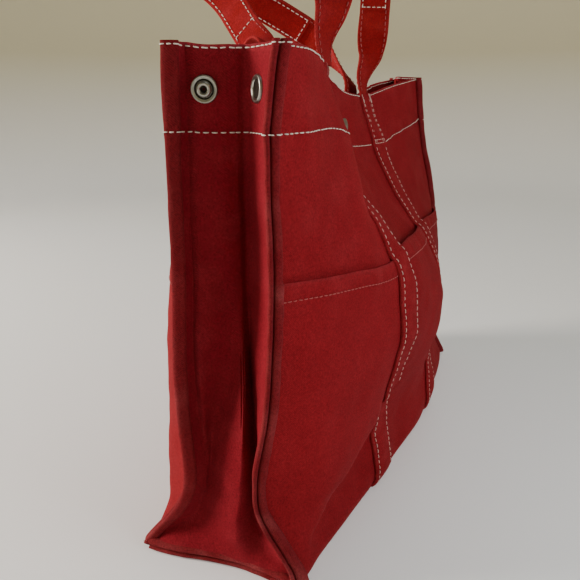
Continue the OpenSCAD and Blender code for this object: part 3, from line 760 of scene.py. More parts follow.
def corner_seam(wall, end, end_name):
    path = wall.at(end * END_X, np.linspace(0, 1, 130))
    path[:, 2] = np.clip(path[:, 2], 3.2, None)
    z = path[:, 2]
    out, wide, gusset_roll, wall_roll, hem = corner_rolls(end, wall.side, z)
    outs, wides = np.tile(out, (len(z), 1)), np.tile(wide, (len(z), 1))
    uneven = 0.14 * ripple(z, 0, 77 + end + wall.seed, 9, 40)
    front_left = end < 0 and wall.side < 0
    kink = bell(z - 44, 4.0) if front_left else np.zeros(len(z))
    rubbed = 0.10 + 0.14 * ripple(z, 0, 5 + end, 10, 60) + 0.45 * kink + 0.25 * bell(z, 12.0)
    wear = np.clip(rubbed, 0, 1)[:, None] * np.clip(np.sin(circle(14)), 0.15, 1)
    pocket_z = float(wall.pocket_rise(end * END_X) * top_z(end * END_X))
    step = ease((pocket_z + 0.6 - z) / 1.0)      # the roll is thicker where it holds the pocket
    foot = (0.45 if front_left else 0.1) * ease((46 - z) / 14)

    shift_out, shift_wide, half_wide, half_deep = wall_roll
    half = (half_wide + uneven + 0.35 * kink) * hem * (1 + foot) + 0.35 * step
    centre = path + out * shift_out + wide * (shift_wide * half / half_wide)[:, None]
    roll = tube(f"{wall.name}_{end_name}_seam_edge_roll", centre, wides, outs, half,
                (half_deep + 0.6 * uneven) * hem + 0.55 * step,
                np.clip(wear + 0.35 * bell(z - pocket_z + 4, 3.5)[:, None], 0, 1), power=2.5)
    dress(roll, mat_edge, wall.body, f"{wall.name}_{end_name}_seam_edge", slot="seam_edge")

    shift_out, shift_wide, half_wide, half_deep = gusset_roll
    half = (half_wide + uneven) * hem
    centre = path + out * shift_out - wide * (shift_wide * half / half_wide)[:, None]
    roll = tube(f"{end_name}_gusset_{wall.name}_edge_roll", centre, wides, outs, half,
                (half_deep + 0.6 * uneven) * hem, wear, power=2.5)
    dress(roll, mat_edge, wall.body, f"{end_name}_gusset_{wall.name}_edge", slot="seam_edge")


for wall in WALLS:
    for end, end_name in ENDS:
        corner_seam(wall, end, end_name)

# ------------------------------------------------------------------ gussets
# Cross-sections of the gussets: a height, then (y, depth in from the end of the bag) of five
# points between the back seam and the front seam. On the left they are the crease by the back
# seam, the small ridge, the saddle, the main ridge and the main valley.
LEFT_FOLDS = [
    (0, [(44, -1.0), (26, -1.5), (4, -1.5), (-18, -1.5), (-38, -1.0)]),
    (6.5, [(42, -3.6), (26.5, -4.3), (6, -4.5), (-16, -4.3), (-36, -3.4)]),
    (10, [(40, -2.0), (26.5, -3.0), (8, -3.5), (-14, -3.6), (-34, -2.0)]),
    (15, [(35, 1.4), (25.2, 1.2), (11, 0.2), (-12, -1.6), (-29.5, 2.6)]),
    (22, [(29, 3.5), (23, 4.2), (15, 4.0), (-10, -0.3), (-25, 6.0)]),
    (34, [(21.5, 4.8), (18.8, 6.0), (16.0, 6.6), (-10.5, 0.3), (-19.0, 10.5)]),
    (50, [(14.6, 5.2), (13.6, 6.8), (12.4, 8.6), (-12.8, 1.0), (-18.2, 12.5)]),
    (72, [(13.0, 6.0), (11.6, 8.0), (9.6, 10.5), (-13.9, 2.4), (-18.2, 14.5)]),
    (90, [(14.6, 6.0), (12.0, 7.0), (8.2, 12.5), (-14.6, 4.6), (-15.9, 17.5)]),
    (110, [(16.0, 6.0), (12.8, 5.6), (2.5, 15.0), (-14.2, 7.6), (-13.0, 20.5)]),
    (129, [(16.0, 5.5), (12.7, 5.0), (-1.7, 16.0), (-12.2, 11.5), (-11.2, 22.5)]),
    (146, [(15.5, 5.5), (12.0, 5.0), (-3.2, 15.8), (-9.4, 16.6), (-10.5, 23.8)]),
    (181, [(13.5, 5.5), (9.5, 5.2), (-1.7, 14.2), (-8.0, 19.8), (-11.2, 25.0)]),
    (204, [(13.0, 5.0), (9.5, 5.0), (-3.0, 12.5), (-8.5, 19.0), (-11.4, 25.0)]),
    (226, [(12.0, 4.5), (8.5, 4.5), (-3.5, 11.0), (-9.5, 17.0), (-12.4, 22.5)]),
    (250, [(11.0, 4.5), (7.3, 4.2), (-4.5, 9.5), (-11.0, 14.5), (-14.8, 19.0)]),
    (276, [(10.0, 4.5), (5.7, 4.2), (-6.0, 8.5), (-13.0, 12.0), (-17.8, 14.8)]),
    (301, [(9.5, 4.3), (4.5, 4.2), (-8.0, 8.5), (-14.5, 11.5), (-19.0, 14.0)])]
RIGHT_FOLDS = [
    (0, [(40, 0.5), (20, 0.0), (0, -0.5), (-20, 0.0), (-38, 0.5)]),
    (12, [(36, 2.5), (17, 0.5), (-1, -1.0), (-18, 0.0), (-34, 3.0)]),
    (30, [(30, 7.0), (12, 2.0), (-1, 0.0), (-14, 2.0), (-30, 7.0)]),
    (60, [(26, 11.0), (9, 7.0), (-1, 5.0), (-11, 7.5), (-27, 12.0)]),
    (95, [(24, 13.0), (8, 15.0), (-1.5, 16.0), (-11, 15.5), (-25, 13.5)]),
    (140, [(19, 14.0), (8, 20.0), (-2, 27.0), (-12, 20.0), (-23, 13.0)]),
    (190, [(16, 13.0), (6, 22.0), (-2, 31.0), (-9.5, 22.0), (-18, 13.0)]),
    (240, [(11, 12.0), (4, 22.0), (-2.5, 32.0), (-7.5, 22.0), (-12.8, 12.0)]),
    (280, [(6.5, 11.0), (2, 21.5), (-2.8, 32.0), (-6.2, 22.0), (-9.8, 11.0)]),
    (298, [(4.5, 10.5), (1, 21.0), (-3, 31.5), (-5.8, 21.5), (-8.6, 11.0)])]
FOLD_SHARES = np.array([0, 0.17, 0.36, 0.52, 0.66, 0.80, 1.0])   # where those points lie across


class Gusset:
    """An end of the bag. Points are given by a share across, 0 at the back seam and 1 at the
    front seam, and by rise, a share of its height."""

    def __init__(self, end, name, folds, part, blends, snap_y):
        self.end, self.name = end, name
        self.part = part                # share across at which the cloth is parted
        # per wall side: y from which the base's motion gives way to the wall's, and y of the snap
        self.blends, self.snap_y = blends, snap_y
        self.heights = [height for height, _ in folds]
        self.folds = np.array([points for _, points in folds], float)
        self.top = float(top_z(end * END_X))

    def at(self, share, rise):
        share, rise = np.broadcast_arrays(np.asarray(share, float), np.asarray(rise, float))
        flat, flat_rise = share.ravel(), rise.ravel()
        z = flat_rise * self.top
        back_y = back.depth(self.end * END_X, flat_rise) - 2.2
        front_y = -(front.depth(self.end * END_X, flat_rise) - 2.2)
        seam = np.full(z.shape, 0.4)
        fold_y, fold_depth = ([smooth(self.heights, self.folds[:, k, axis], z) for k in range(5)]
                              for axis in (0, 1))
        y = smooth(FOLD_SHARES, np.array([back_y, *fold_y, front_y]), flat)
        depth = smooth(FOLD_SHARES, np.array([seam, *fold_depth, seam]), flat)
        inside = np.clip(np.minimum(flat, 1 - flat) / 0.08, 0, 1)
        depth = depth + inside * (0.35 * ripple(y * 1.3, z * 0.55, 300 + self.end, 25, 80)
                                  + 0.16 * ripple(y, z, 310 + self.end, 9, 24))
        sewn = bell(z - (self.top - HEM), 4.0) + 0.8 * bell(z - self.top, 5.0)
        depth = depth + inside * sewn * 0.25 * ripple(y, z * 0.1, 320 + self.end, 8, 16)
        if self.end < 0:
            depth = depth - foot_out(y, z)
            z = z + 1.7 * ease((y + 2) / 17) * flat_rise**8
        return xyz(self.end * (END_X - depth), y, z).reshape(share.shape + (3,))

    def normal(self, share, rise):
        step = 0.004
        run = (self.at(np.clip(share + step, 0, 1), rise)
               - self.at(np.clip(share - step, 0, 1), rise))
        climb = (self.at(share, np.clip(rise + step, 0, 1))
                 - self.at(share, np.clip(rise - step, 0, 1)))
        return unit(np.cross(run, climb)) * -self.end

    def put(self, share, rise, offset=0.0):
        return self.at(share, rise) + self.normal(share, rise) * np.asarray(offset)[..., None]

    def share_at(self, y, rise):
        """The share at which the section crosses y, or comes nearest to it."""
        shares = np.linspace(0, 1, 400)
        ys = self.at(shares, rise)[:, 1]
        found = np.where((ys[:-1] >= y) & (ys[1:] < y))[0]
        k = found[0] if len(found) else int(np.argmin(np.abs(ys - y)))
        if k == len(shares) - 1:
            return 1.0
        return float(shares[k] + shares[1] * (ys[k] - y) / max(ys[k] - ys[k + 1], 1e-9))

    def half(self, side, share):
        """Shares across the whole gusset from shares across one half of it."""
        return self.part + (1 - self.part) * share if side < 0 else self.part * share

    def motion(self, wall):
        start, end = self.blends[wall.side]
        return "base", wall.body, (0, start * MM, 0), (0, end * MM, 0)


GUSSETS = (Gusset(-1, "left", LEFT_FOLDS, part=0.66, snap_y={-1: -26.5, 1: 0.6},
                  blends={-1: (-18.5, -24.5), 1: (-8.0, -1.0)}),
           Gusset(1, "right", RIGHT_FOLDS, part=0.52, snap_y={-1: -7.2, 1: 3.6},
                  blends={-1: (-3.0, -9.5), 1: (0.0, 6.5)}))


def gusset_half(gusset, wall):
    """The half of a gusset next to one wall, open along its parting."""
    rows = np.concatenate([np.linspace(0.006, 0.03, 6), np.linspace(0.03, 1, 140)[1:]])
    share, rise = np.meshgrid(gusset.half(wall.side, np.linspace(0, 1, 62)), rows)
    below = (1 - rise) * gusset.top
    drop = 1.4 * round_off(below, 1.8)
    height = rise * NOMINAL_HEIGHT
    wear = (0.5 * np.exp(-below / 1.6) + 0.5 * bell(height, 6)
            + 0.10 * patches(share * 80, height, 9, 12, 40))
    inner = gusset.put(share, rise, -CLOTH - np.where(below < 3.2, 1.4, 0) + drop)
    ob = shell(f"{gusset.name}_gusset_{wall.name}_cloth", gusset.put(share, rise, -drop), inner,
               wear, flip=gusset.end > 0, open_at=0 if wall.side < 0 else 1)
    dress(ob, mat_gusset_shaded, gusset.motion(wall), f"{gusset.name}_gusset_{wall.name}_half")


def gusset_facing(gusset, wall):
    """The turned hem inside one half of a gusset."""
    low, high = (0.02, 0.94) if wall.side < 0 else (0.06, 0.98)
    share, rise = np.meshgrid(gusset.half(wall.side, np.linspace(low, high, 44)),
                              np.linspace(1 - HEM / gusset.top, 1 - 3.4 / gusset.top, 18))
    ob = shell(f"{gusset.name}_gusset_{wall.name}_facing_cloth",
               gusset.put(share, rise, -CLOTH - 0.15), gusset.put(share, rise, -CLOTH - 1.4),
               flip=gusset.end > 0)
    dress(ob, mat_inside, gusset.motion(wall), f"{gusset.name}_gusset_{wall.name}_facing")


for gusset in GUSSETS:
    for wall in WALLS:
        gusset_half(gusset, wall)
        gusset_facing(gusset, wall)


# --------------------------------------------------------------------- base
def base_panel():
    xs = columns(END_X + 1, 3.0)
    x, share = np.meshgrid(xs, np.linspace(-1, 1, 60))
    front_y = front.base(xs, 0.0)[:, 1] - 0.6
    back_y = back.base(xs, 0.0)[:, 1] + 0.6
    y = front_y + (back_y - front_y) * (share + 1) / 2
    z = lift(x) + 0.05
    x = x - foot_shift(x, y, 0.0)
    uneven = 0.3 * np.abs(0.25 * ripple(x, y, 400, 20, 80))
    wear = 0.35 * patches(x, y, 401, 12, 60) + 0.5 * ease((np.abs(x) - 180) / 10)
    ob = shell("base_panel_cloth", xyz(x, y, z), xyz(x, y, z + CLOTH + 0.1 + uneven), wear)
    dress(ob, mat_wall, "base", "base_panel")


def base_strap(end, end_name):
    across = np.concatenate([-HALF_ACROSS_BASE[::-1], [0], HALF_ACROSS_BASE])
    front_y = float(front.base(end * STRAP_X, 0.0)[1]) + 1.0
    back_y = float(back.base(end * STRAP_X, 0.0)[1]) - 1.0
    x, y = np.meshgrid(end * STRAP_X + across, np.linspace(front_y, back_y, 70))
    under = 1.9 * 0.75 * round_off(STRAP_HALF - np.abs(across), 1.1)
    ob = shell(f"base_{end_name}_strap_cloth", xyz(x, y, under), xyz(x, y, 2.0))
    dress(ob, mat_strap, "base", f"base_{end_name}_strap", slot="webbing")


def base_end_seam(end, end_name):
    """Two rolls lying along the bottom edge of the gusset."""
    count = 70
    y = np.linspace(back.depth(end * END_X, 0.03) + (2.5 if end < 0 else -1),
                    -front.depth(end * END_X, 0.03) + 1, count)
    x = end * (END_X + 0.6) + end * 0.35 * ripple(y, 0, 410 + end, 20, 60)
    if end < 0:
        x = x - foot_out(y, 0.0)
    path = xyz(x, y, 2.5)
    out, up = np.tile([end * 1.0, 0, 0], (count, 1)), np.tile([0, 0, 1.0], (count, 1))
    uneven = 0.15 * ripple(y, 0, 420 + end, 8, 30)
    wear = 0.6 * np.clip(0.16 + 0.22 * ripple(y, 0, 430 + end, 7, 30), 0, 1)[:, None]
    lower = tube(f"base_{end_name}_seam_edge_roll", path + up * -0.7 + out * 1.2, up, out,
                 1.7 + 0.4 * uneven, 3.5 + uneven, wear, power=2.2)
    dress(lower, mat_edge, "base", f"base_{end_name}_seam_edge", slot="seam_edge")
    upper = tube(f"base_{end_name}_gusset_edge_roll", path + up * 3.3 + out * 1.5, up, out,
                 2.35 + 0.6 * uneven, 3.3 + uneven, wear, power=2.2)
    dress(upper, mat_edge, "base", slot="seam_edge")


base_panel()
for end, end_name in ENDS:
    base_strap(end, end_name)
    base_end_seam(end, end_name)

# ------------------------------------------------------------------ handles
LOOP_HALF = 65.85                # half the distance between the loop's feet
LOOP_HIGH = 165.0
LOOP_BEND = 50.0                 # length over which each leg turns inwards
LOOP_LEG = math.radians(15)      # lean of each leg
LOOP_ROOT = 30                   # length over which the loop leaves the line of the strap below
GRIP_START = 62.0                # the grip layer starts this far along the loop
# Lift of the back loop's right leg: (distance from its foot, height).
RIGHT_LEG_LIFT = ([-5, 0, 15, 30, 45, 62, 80, 100, 120, 150, 200],
                  [0, 0, 3, 9, 8.5, 6, 1, -5, -11, -17, -20])


def loop_path(wall, middle, across, up, out):
    """Distance along the loop from its left foot, distance from its right foot, and points."""
    sin_leg, cos_leg = math.sin(LOOP_LEG), math.cos(LOOP_LEG)
    reach = LOOP_HALF - LOOP_BEND * sin_leg / 2
    run = ((LOOP_HIGH - LOOP_BEND + (1 - cos_leg) * LOOP_BEND / 2 - (1 - sin_leg) / cos_leg * reach)
           / (cos_leg - sin_leg * (1 - sin_leg) / cos_leg))
    arch = (reach - run * sin_leg) / cos_leg
    half = LOOP_BEND + run + arch * (math.pi / 2 - LOOP_LEG)
    total = 2 * half
    dist = np.concatenate([[-1.0], np.linspace(0, total, 230), [total + 1.0]])
    rest = total - dist
    low = np.minimum(dist, rest)
    # a bend, a straight leg, then an arch
    bent = np.clip(low / LOOP_BEND, 0, 1)
    bent = bent**3 - bent**4 / 2
    leg = np.clip(low - LOOP_BEND, 0, run)
    turn = LOOP_LEG + np.clip(low - LOOP_BEND - run, 0, None) / arch
    inward = LOOP_BEND * sin_leg * bent + leg * sin_leg + arch * (cos_leg - np.cos(turn))
    rise = (np.minimum(low, LOOP_BEND) - (1 - cos_leg) * LOOP_BEND * bent + leg * cos_leg
            + arch * (np.sin(turn) - sin_leg))
    first = dist < half
    sideways = np.where(first, -1, 1) * (LOOP_HALF - inward)
    path = middle + across * sideways[:, None] + up * rise[:, None]
    if wall.side > 0:
        # the left leg has slumped inwards and sits lower than the right one
        slump = ease(dist / 60) * ease((0.62 - np.clip(dist / total, 0, 1)) / 0.45)
        path = path + np.array([19.0, -3.0, -18.0]) * slump[:, None]
        # the loop hangs to the left: its right leg stands straight, then falls over
        fall = ease((dist - 88) / (half - 88))
        path[:, 0] += np.where(first, -26.0 * fall,
                               7.0 * ease(rest / 45) - 33.0 * ease((rest - 52) / (half - 52)))
        path[:, 2] += np.where(first, -20.0 * fall,
                               smooth(*RIGHT_LEG_LIFT, np.clip(rest, -5, 200)))
    else:
        shift = ease(rest / 14) * ease((dist / total - 0.5) / 0.4)
        path = path + np.array([0.0, 4.0, 0.0]) * shift[:, None]
    # leave the mouth along the strap below, then turn up into the loop
    for x, away in ((-STRAP_X, dist), (STRAP_X, rest)):
        root = wall.at(x, 0.9985, 1.25)
        tangent = unit(wall.at(x, 1.0, 1.25) - wall.at(x, 0.985, 1.25))
        keep = ease(1 - np.clip(away, 0, None) / LOOP_ROOT)[:, None]
        start = root + tangent * np.clip(away, -1, LOOP_ROOT)[:, None]
        path = path * (1 - keep) + start * keep
    # a hand-made loop isn't a perfect arch
    sway = (0.8 * np.sin(dist / total * 2 * np.pi + 0.6)
            + 0.7 * np.sin(dist / total * 5.3 * np.pi))
    return dist, rest, path + out * (np.clip(low / 60, 0, 1) ** 2 * sway)[:, None]


def handle(wall):
    """The free loop of a strap, its grip layer and its stitching."""
    joint = joints[f"{wall.name}_handle_swing"]
    middle = np.array(joint["pos_m"]) * 1000
    across = unit(np.array(joint["axis"], float))
    across = across if across[0] > 0 else -across
    lean = math.radians(4 if wall.side < 0 else 45)
    up = square_to(np.array([0, wall.side * math.sin(lean), math.cos(lean)]), across)
    out = np.cross(across, up)
    if out[1] * wall.side < 0:
        out = -out                       # out of the bag
    dist, rest, path = loop_path(wall, middle, across, up, out)
    # the strap lies along the wall at its feet and turns a quarter round on its way up
    tangent = unit(np.gradient(path, axis=0))
    first = dist < rest
    slumped = first & (wall.side > 0)
    twist = (math.pi / 2) * ease((np.minimum(dist, rest) - np.where(slumped, 12, 3))
                                 / np.where(slumped, 48, 60))
    sense = np.where(slumped, 1.0, -1.0)     # both legs of the front loop turn the same way
    wide = square_to(across * (sense * np.cos(twist))[:, None] - out * np.sin(twist)[:, None],
                     tangent)
    thick = np.cross(wide, tangent)
    if thick[len(dist) // 2] @ up < 0:
        thick = -thick                   # points out of the loop at the top

    def band(name, centre, half_wide, half_thick, chosen):
        """A flat rounded band along part of the loop, grooved at its stitch rows."""
        angle = circle(28)
        wide_share, thick_share = squared(np.cos(angle), 0.42), squared(np.sin(angle), 0.5)
        offset = wide_share * half_wide
        run = dist[chosen][:, None]
        uneven = 0.10 * ripple(run, angle * 4, 500 + len(name), 8, 30)
        groove = 0.35 * bell(np.abs(offset) - 9.4, 0.8)
        height = centre + thick_share * (half_thick - groove) + uneven * np.sign(thick_share)
        rings = (path[chosen][:, None] + wide[chosen][:, None] * offset[:, None]
                 + thick[chosen][:, None] * height[..., None])
        count, sides = rings.shape[:2]
        uv = np.stack([np.tile(offset, count), np.repeat(run, sides)], -1)
        wear = (0.28 * bell(half_wide - np.abs(offset), 0.8)
                + 0.14 * patches(run, wide_share * 12, 6, 10, 40))
        return make(name, rings.reshape(-1, 3), ring_faces(count, sides), uv,
                    np.clip(wear, 0, 1).ravel())

    def place(chosen, sideways, height):
        return path[chosen] + wide[chosen] * sideways + thick[chosen] * height

    body = f"{wall.name}_handle"
    rooted = (wall.body, body, tuple((middle + up * -1.5) * MM), tuple((middle + up * 24.0) * MM))
    dress(band(f"{body}_strap_cloth", 0.0, STRAP_HALF, 1.3, np.arange(len(dist))),
          mat_handle_lit, rooted, f"{body}_strap", slot="webbing")
    grip = np.where((dist >= GRIP_START) & (rest >= GRIP_START))[0]
    dress(band(f"{body}_grip_cloth", -2.2, 11.9, 1.0, grip),
          mat_handle_lit, body, f"{body}_grip", slot="webbing")
    # white rows around the grip, on its outer and inner faces
    white = Thread(f"{body}_stitching")
    row_out = 9.4
    for facing, height in ((1, 1.28), (-1, -3.15)):
        for sideways in (-row_out, row_out):
            white.row(place(grip, sideways, height), thick[grip] * facing)
        for i, inward in ((grip[0], 1), (grip[-1], -1)):
            centre = place(i, 0.0, height) + tangent[i] * (inward * 2.2)
            line = np.array([centre - wide[i] * row_out, centre + wide[i] * row_out])
            white.row(line, thick[i] * facing, pitch=4.2, start=1.2)
    # red rows along both edges of the legs below the grip
    plain = Thread(f"{body}_edge_stitching")
    left_leg = (dist >= (1.5 if wall.side < 0 else 40)) & (dist < GRIP_START + 2)
    right_leg = (rest < GRIP_START + 2) & (rest >= 1.5)
    for leg in (left_leg, right_leg):
        for facing in (1, -1):
            for sideways in (-9.8, 9.8):
                plain.row(place(leg, sideways, 1.25 * facing), thick[leg] * facing, radius=0.32)
    dress(white.build(), mat_white, body, slot="webbing")
    dress(plain.build(), mat_red_thread, rooted, slot="webbing")


for wall in WALLS:
    handle(wall)


# ----------------------------------------------------------------- stitches
def between_straps(end_x, gap):
    """Stretches of x beside and between the straps, clear of them by the gap."""
    return ((-end_x, -STRAP_X - gap), (-STRAP_X + gap, STRAP_X - gap), (STRAP_X + gap, end_x))


def mouth_stitching(wall):
    """Rows along the mouth and the hem, outside and inside."""
    thread = Thread(f"{wall.name}_mouth_stitching")
    x = np.linspace(-187, 187, 500)
    rise = 1 - MOUTH_ROW / top_z(x)
    thread.row(wall.at(x, rise, 0.05), wall.normal(x, rise))
    thread.row(wall.at(x, rise, -HEM_BACK), -wall.normal(x, rise))
    rise = hem_rise(x) + 0.0012 * np.sin(x / 23.0)
    for low, high in between_straps(187, 13):
        part = (x > low) & (x < high)
        thread.row(wall.at(x[part], rise[part], 0.08), wall.normal(x[part], rise[part]))
    thread.row(wall.at(x, rise + 0.004, -CLOTH - 1.42), -wall.normal(x, rise))
    dress(thread.build(), mat_white, wall.body, copies=2)


def strap_stitching(wall):
    """Rows on the straps in worn white, and in red on the left strap's top and the pocket."""
    white = Thread(f"{wall.name}_strap_stitching")
    red = Thread(f"{wall.name}_strap_tonal_stitching")

    def sew(thread, x, rise, offset, **settings):
        x, rise = np.broadcast_arrays(x, rise)
        thread.row(wall.at(x, rise, offset), wall.normal(x, rise), **settings)

    for centre in (-STRAP_X, STRAP_X):
        upper = red if centre < 0 else white
        hem = float(hem_rise(centre))
        for sideways in (-STRAP_ROW, STRAP_ROW):
            rise = np.linspace(0.014, hem - 0.004, 330)
            x = centre + sideways
            sew(white, x, rise, wall.strap_offset(x, rise) + 1.66)
            rise = np.linspace(hem + 0.006, 0.992, 60)
            for across in (sideways, sideways * 0.74):
                sew(upper, centre + across, rise, 1.80, radius=0.30)
        for rise in (hem + 0.002, hem + 0.012):
            x = np.linspace(centre - STRAP_ROW, centre + STRAP_ROW, 12)
            sew(upper, x, rise, 1.95, pitch=3.8, length=2.8)
        # bar tacks at the mouth
        tack = red if centre < 0 and wall.side < 0 else white
        for sideways in (-STRAP_ROW, STRAP_ROW):
            for shift in (-0.55, 0, 0.55):
                sew(tack, centre + sideways + shift, np.linspace(0.972, 0.996, 12), 1.95,
                    pitch=2.0, length=2.1, radius=0.30)
    dress(white.build(), mat_worn_white, wall.body, copies=2)
    for low, high in between_straps(186, 13.5):
        x = np.linspace(low, high, 260)
        rise = wall.pocket_rise(x) - 9.6 / top_z(x)
        sew(red, x, rise, 0.25 + wall.gape(x, rise) + 1.95, radius=0.30, pitch=3.6, length=2.6)
    dress(red.build(), mat_red_thread, wall.body, copies=2)


def gusset_stitching(gusset, wall):
    thread = Thread(f"{gusset.name}_gusset_{wall.name}_stitching")
    low, high = (gusset.part, 0.985) if wall.side < 0 else (0.015, gusset.part)
    share = np.linspace(low, high, 200)
    for drop in (MOUTH_ROW, HEM):
        rise = 1 - drop / gusset.top
        thread.row(gusset.put(share, rise, 0.08), gusset.normal(share, rise))
        thread.row(gusset.put(share, rise, -CLOTH - 1.45), -gusset.normal(share, rise))
    dress(thread.build(), mat_white, gusset.motion(wall))


def seam_stitching(wall):
    """Stitches that cross the corner rolls, at the mouth and at the hem."""
    thread = Thread(f"{wall.name}_seam_stitching")
    for end, _ in ENDS:
        for rise in (1 - MOUTH_ROW / 300, float(hem_rise(end * END_X))):
            point = wall.at(end * END_X, rise)
            out, wide, gusset_roll, wall_roll, hem = corner_rolls(end, wall.side, point[2])
            for roll, sense in ((wall_roll, 1), (gusset_roll, -1)):
                shift_out, shift_wide, half_wide, half_deep = roll
                centre = point + out * shift_out + wide * (sense * shift_wide * hem)
                half_wide, half_deep = half_wide * hem, half_deep * hem
                # the row wraps around the gusset's roll at the back left corner
                wraps = sense < 0 and end < 0 and wall.side > 0
                angle = np.linspace(-2.9, 0.7, 24) if wraps else np.linspace(-1.2, 1.2, 14)
                sine, cosine = np.sin(angle)[:, None], np.cos(angle)[:, None]
                line = (centre + wide * (sine * (half_wide + 0.05))
                        + out * (cosine * (half_deep + 0.05)))
                thread.row(line, unit(wide * sine * half_deep + out * cosine * half_wide),
                           pitch=3.6, length=2.8, start=1.3)
    dress(thread.build(), mat_white, wall.body, copies=2)


for wall in WALLS:
    mouth_stitching(wall)
    strap_stitching(wall)
for gusset in GUSSETS:
    for wall in WALLS:
        gusset_stitching(gusset, wall)
for wall in WALLS:
    seam_stitching(wall)


# -------------------------------------------------------------- loose yarns
def yarn(name, start, way, length, curl, radius, mat, body):
    """A short curling yarn with a tapering end."""
    t = np.linspace(0, 1, 14)[:, None]
    side, other = unit(np.cross(way, [0.3, 0.2, 0.9])), unit(np.cross(way, [0.9, -0.3, 0.1]))
    path = (start + way * (t * length) + side * (curl * np.sin(t * 4.2 + length))
            + other * (curl * 0.7 * (1 - np.cos(t * 5.0))))
    path[:, 2] = np.maximum(path[:, 2], radius + 0.05)
    tangent = unit(np.gradient(path, axis=0))
    wide = unit(np.cross(tangent, [0.11, 0.23, 0.97]))
    taper = radius * np.linspace(1, 0.6, 14)
    dress(tube(name, path, wide, np.cross(tangent, wide), taper, taper, sides=6), mat, body)


def loose_yarns():
    """A knot at the end of the hem row and frayed yarns at the foot, at the back left corner."""
    draw = np.random.default_rng(5)
    random, normal = draw.random, draw.standard_normal
    knot = back.at(-END_X, float(hem_rise(-END_X)))
    out, wide = corner_rolls(-1, 1, knot[2])[:2]
    for k in range(5):
        start = (knot + out * (4.2 + 0.4 * random()) + wide * (random() * 3.0 - 0.6)
                 + np.array([0, 0, random() * 1.6 - 0.6]))
        way = unit(wide * (1 if k % 2 else -1) + np.array([0, 0, 0.35 * normal()]))
        yarn(f"hem_knot_{k}", start, way, length=1.8 + random(), curl=0.5, radius=0.36,
             mat=mat_white, body="back_wall")
    foot = back.at(-END_X, 0.0) + np.array([-1.5, 3.0, 2.2])
    for k in range(9):
        way = unit(np.array([-0.55 + 0.5 * normal(), 0.75 + 0.4 * normal(), 0.1 + 0.35 * random()]))
        start = foot + np.array([random() * 2 - 2, -1.5 * random(), random() * 4 - 1])
        yarn(f"corner_fray_{k}", start, way, length=2.2 + 2.4 * random(), curl=0.6, radius=0.16,
             mat=mat_worn_white if k % 2 else mat_red_thread, body="base")


loose_yarns()


# -------------------------------------------------------------------- snaps
def arc(r0, z0, r1, z1, bow, count=7):
    """Points from (r0, z0) to (r1, z1) along a bowed line."""
    along_r, along_z = r1 - r0, z1 - z0
    length = math.hypot(along_r, along_z)
    points = []
    for k in range(count + 1):
        t = k / count
        out = math.sin(math.pi * t) * bow
        points.append((r0 + along_r * t - along_z / length * out,
                       z0 + along_z * t + along_r / length * out))
    return points


# Profiles of the turned parts as (radius, height), before PROFILE_SCALE.
PROFILE_SCALE = 0.9
STUD = (arc(7.5, 0.0, 5.9, 0.9, -0.75) + arc(5.7, 0.75, 4.6, 0.35, -0.12)
        + arc(4.3, 0.4, 3.9, 2.2, -0.25) + arc(3.7, 2.4, 2.2, 2.35, -0.35)
        + arc(1.9, 2.1, 1.6, -0.6, 0.0) + [(0.0, -0.7)])
SOCKET = (arc(7.5, 0.0, 5.5, 1.0, -0.95) + arc(5.4, 0.9, 4.95, 0.5, 0.0)
          + arc(4.9, 0.4, 4.7, -1.0, 0.0) + arc(4.6, -1.1, 0.0, -1.2, 0.0))
CAP = arc(7.4, 0.0, 6.4, 0.9, -0.45) + arc(6.3, 0.95, 0.0, 2.5, -0.75, 12)
WASHER = (arc(7.0, 0.0, 6.0, 0.7, -0.3) + arc(5.9, 0.7, 3.2, 0.55, -0.1)
          + arc(3.0, 0.4, 2.6, -0.4, 0.0) + [(0.0, -0.5)])
FACES = {"socket": SOCKET, "stud": STUD}
# Dark discs and rings of painted shade, laid on the snaps where their openings and a stud's groove
# fall into shade; they are not holes.
SOCKET_HOLLOW_SHADE = [(5.1, 0.62), (4.5, 0.50), (0.0, 0.45)]
GUSSET_HOLLOW_SHADES = {"socket": SOCKET_HOLLOW_SHADE, "stud": [(2.3, 1.75), (1.2, 1.35), (0.7, 1.3)]}
WALL_HOLLOW_SHADES = {"socket": SOCKET_HOLLOW_SHADE, "stud": [(1.95, 1.35), (1.2, 1.25), (0.0, 1.2)]}
STUD_GROOVE_SHADE = [(5.45, 0.92), (5.1, 0.74), (4.75, 0.62), (4.5, 0.66)]


def fitting(name, profile, point, outward, mat, body, *nodes):
    """Turns a profile about the outward axis through a point."""
    outward = unit(outward)
    other = np.array([0, 0, 1.0]) if abs(outward[2]) < 0.9 else np.array([1.0, 0, 0])
    side = unit(np.cross(other, outward))
    up = np.cross(outward, side)
    sides = 56
    angle = circle(sides)[:, None]
    section = side * np.cos(angle) + up * np.sin(angle)
    verts = [point + outward * (z * PROFILE_SCALE) + section * max(r * PROFILE_SCALE, 0.001)
             for r, z in profile]
    ob = make(name, np.concatenate(verts), ring_faces(len(profile), sides, capped=False))
    dress(ob, mat, body, *nodes, slot="snap_metal", copies=2)


def gusset_snap(gusset, wall):
    rise = 1 - SNAP_DROP / gusset.top
    share = gusset.share_at(gusset.snap_y[wall.side], rise)
    point, outward = gusset.put(share, rise), gusset.normal(share, rise)
    name = f"{gusset.name}_gusset_{wall.snap}"
    seat = point + outward * 0.2
    fitting(f"{name}_metal", FACES[wall.snap], seat, outward, mat_snap, wall.body, name)
    # A disc of painted shade over the snap's opening and, on a stud, a ring of painted shade in its
    # groove.
    fitting(f"{name}_hollow", GUSSET_HOLLOW_SHADES[wall.snap], seat, outward, mat_hollow_shade, wall.body)
    if wall.snap == "stud":
        fitting(f"{name}_groove", STUD_GROOVE_SHADE, seat, outward, mat_hollow_shade, wall.body)
    fitting(f"{name}_washer_metal", WASHER, point - outward * HEM_BACK, -outward,
            mat_snap_dark, wall.body, f"{name}_washer")


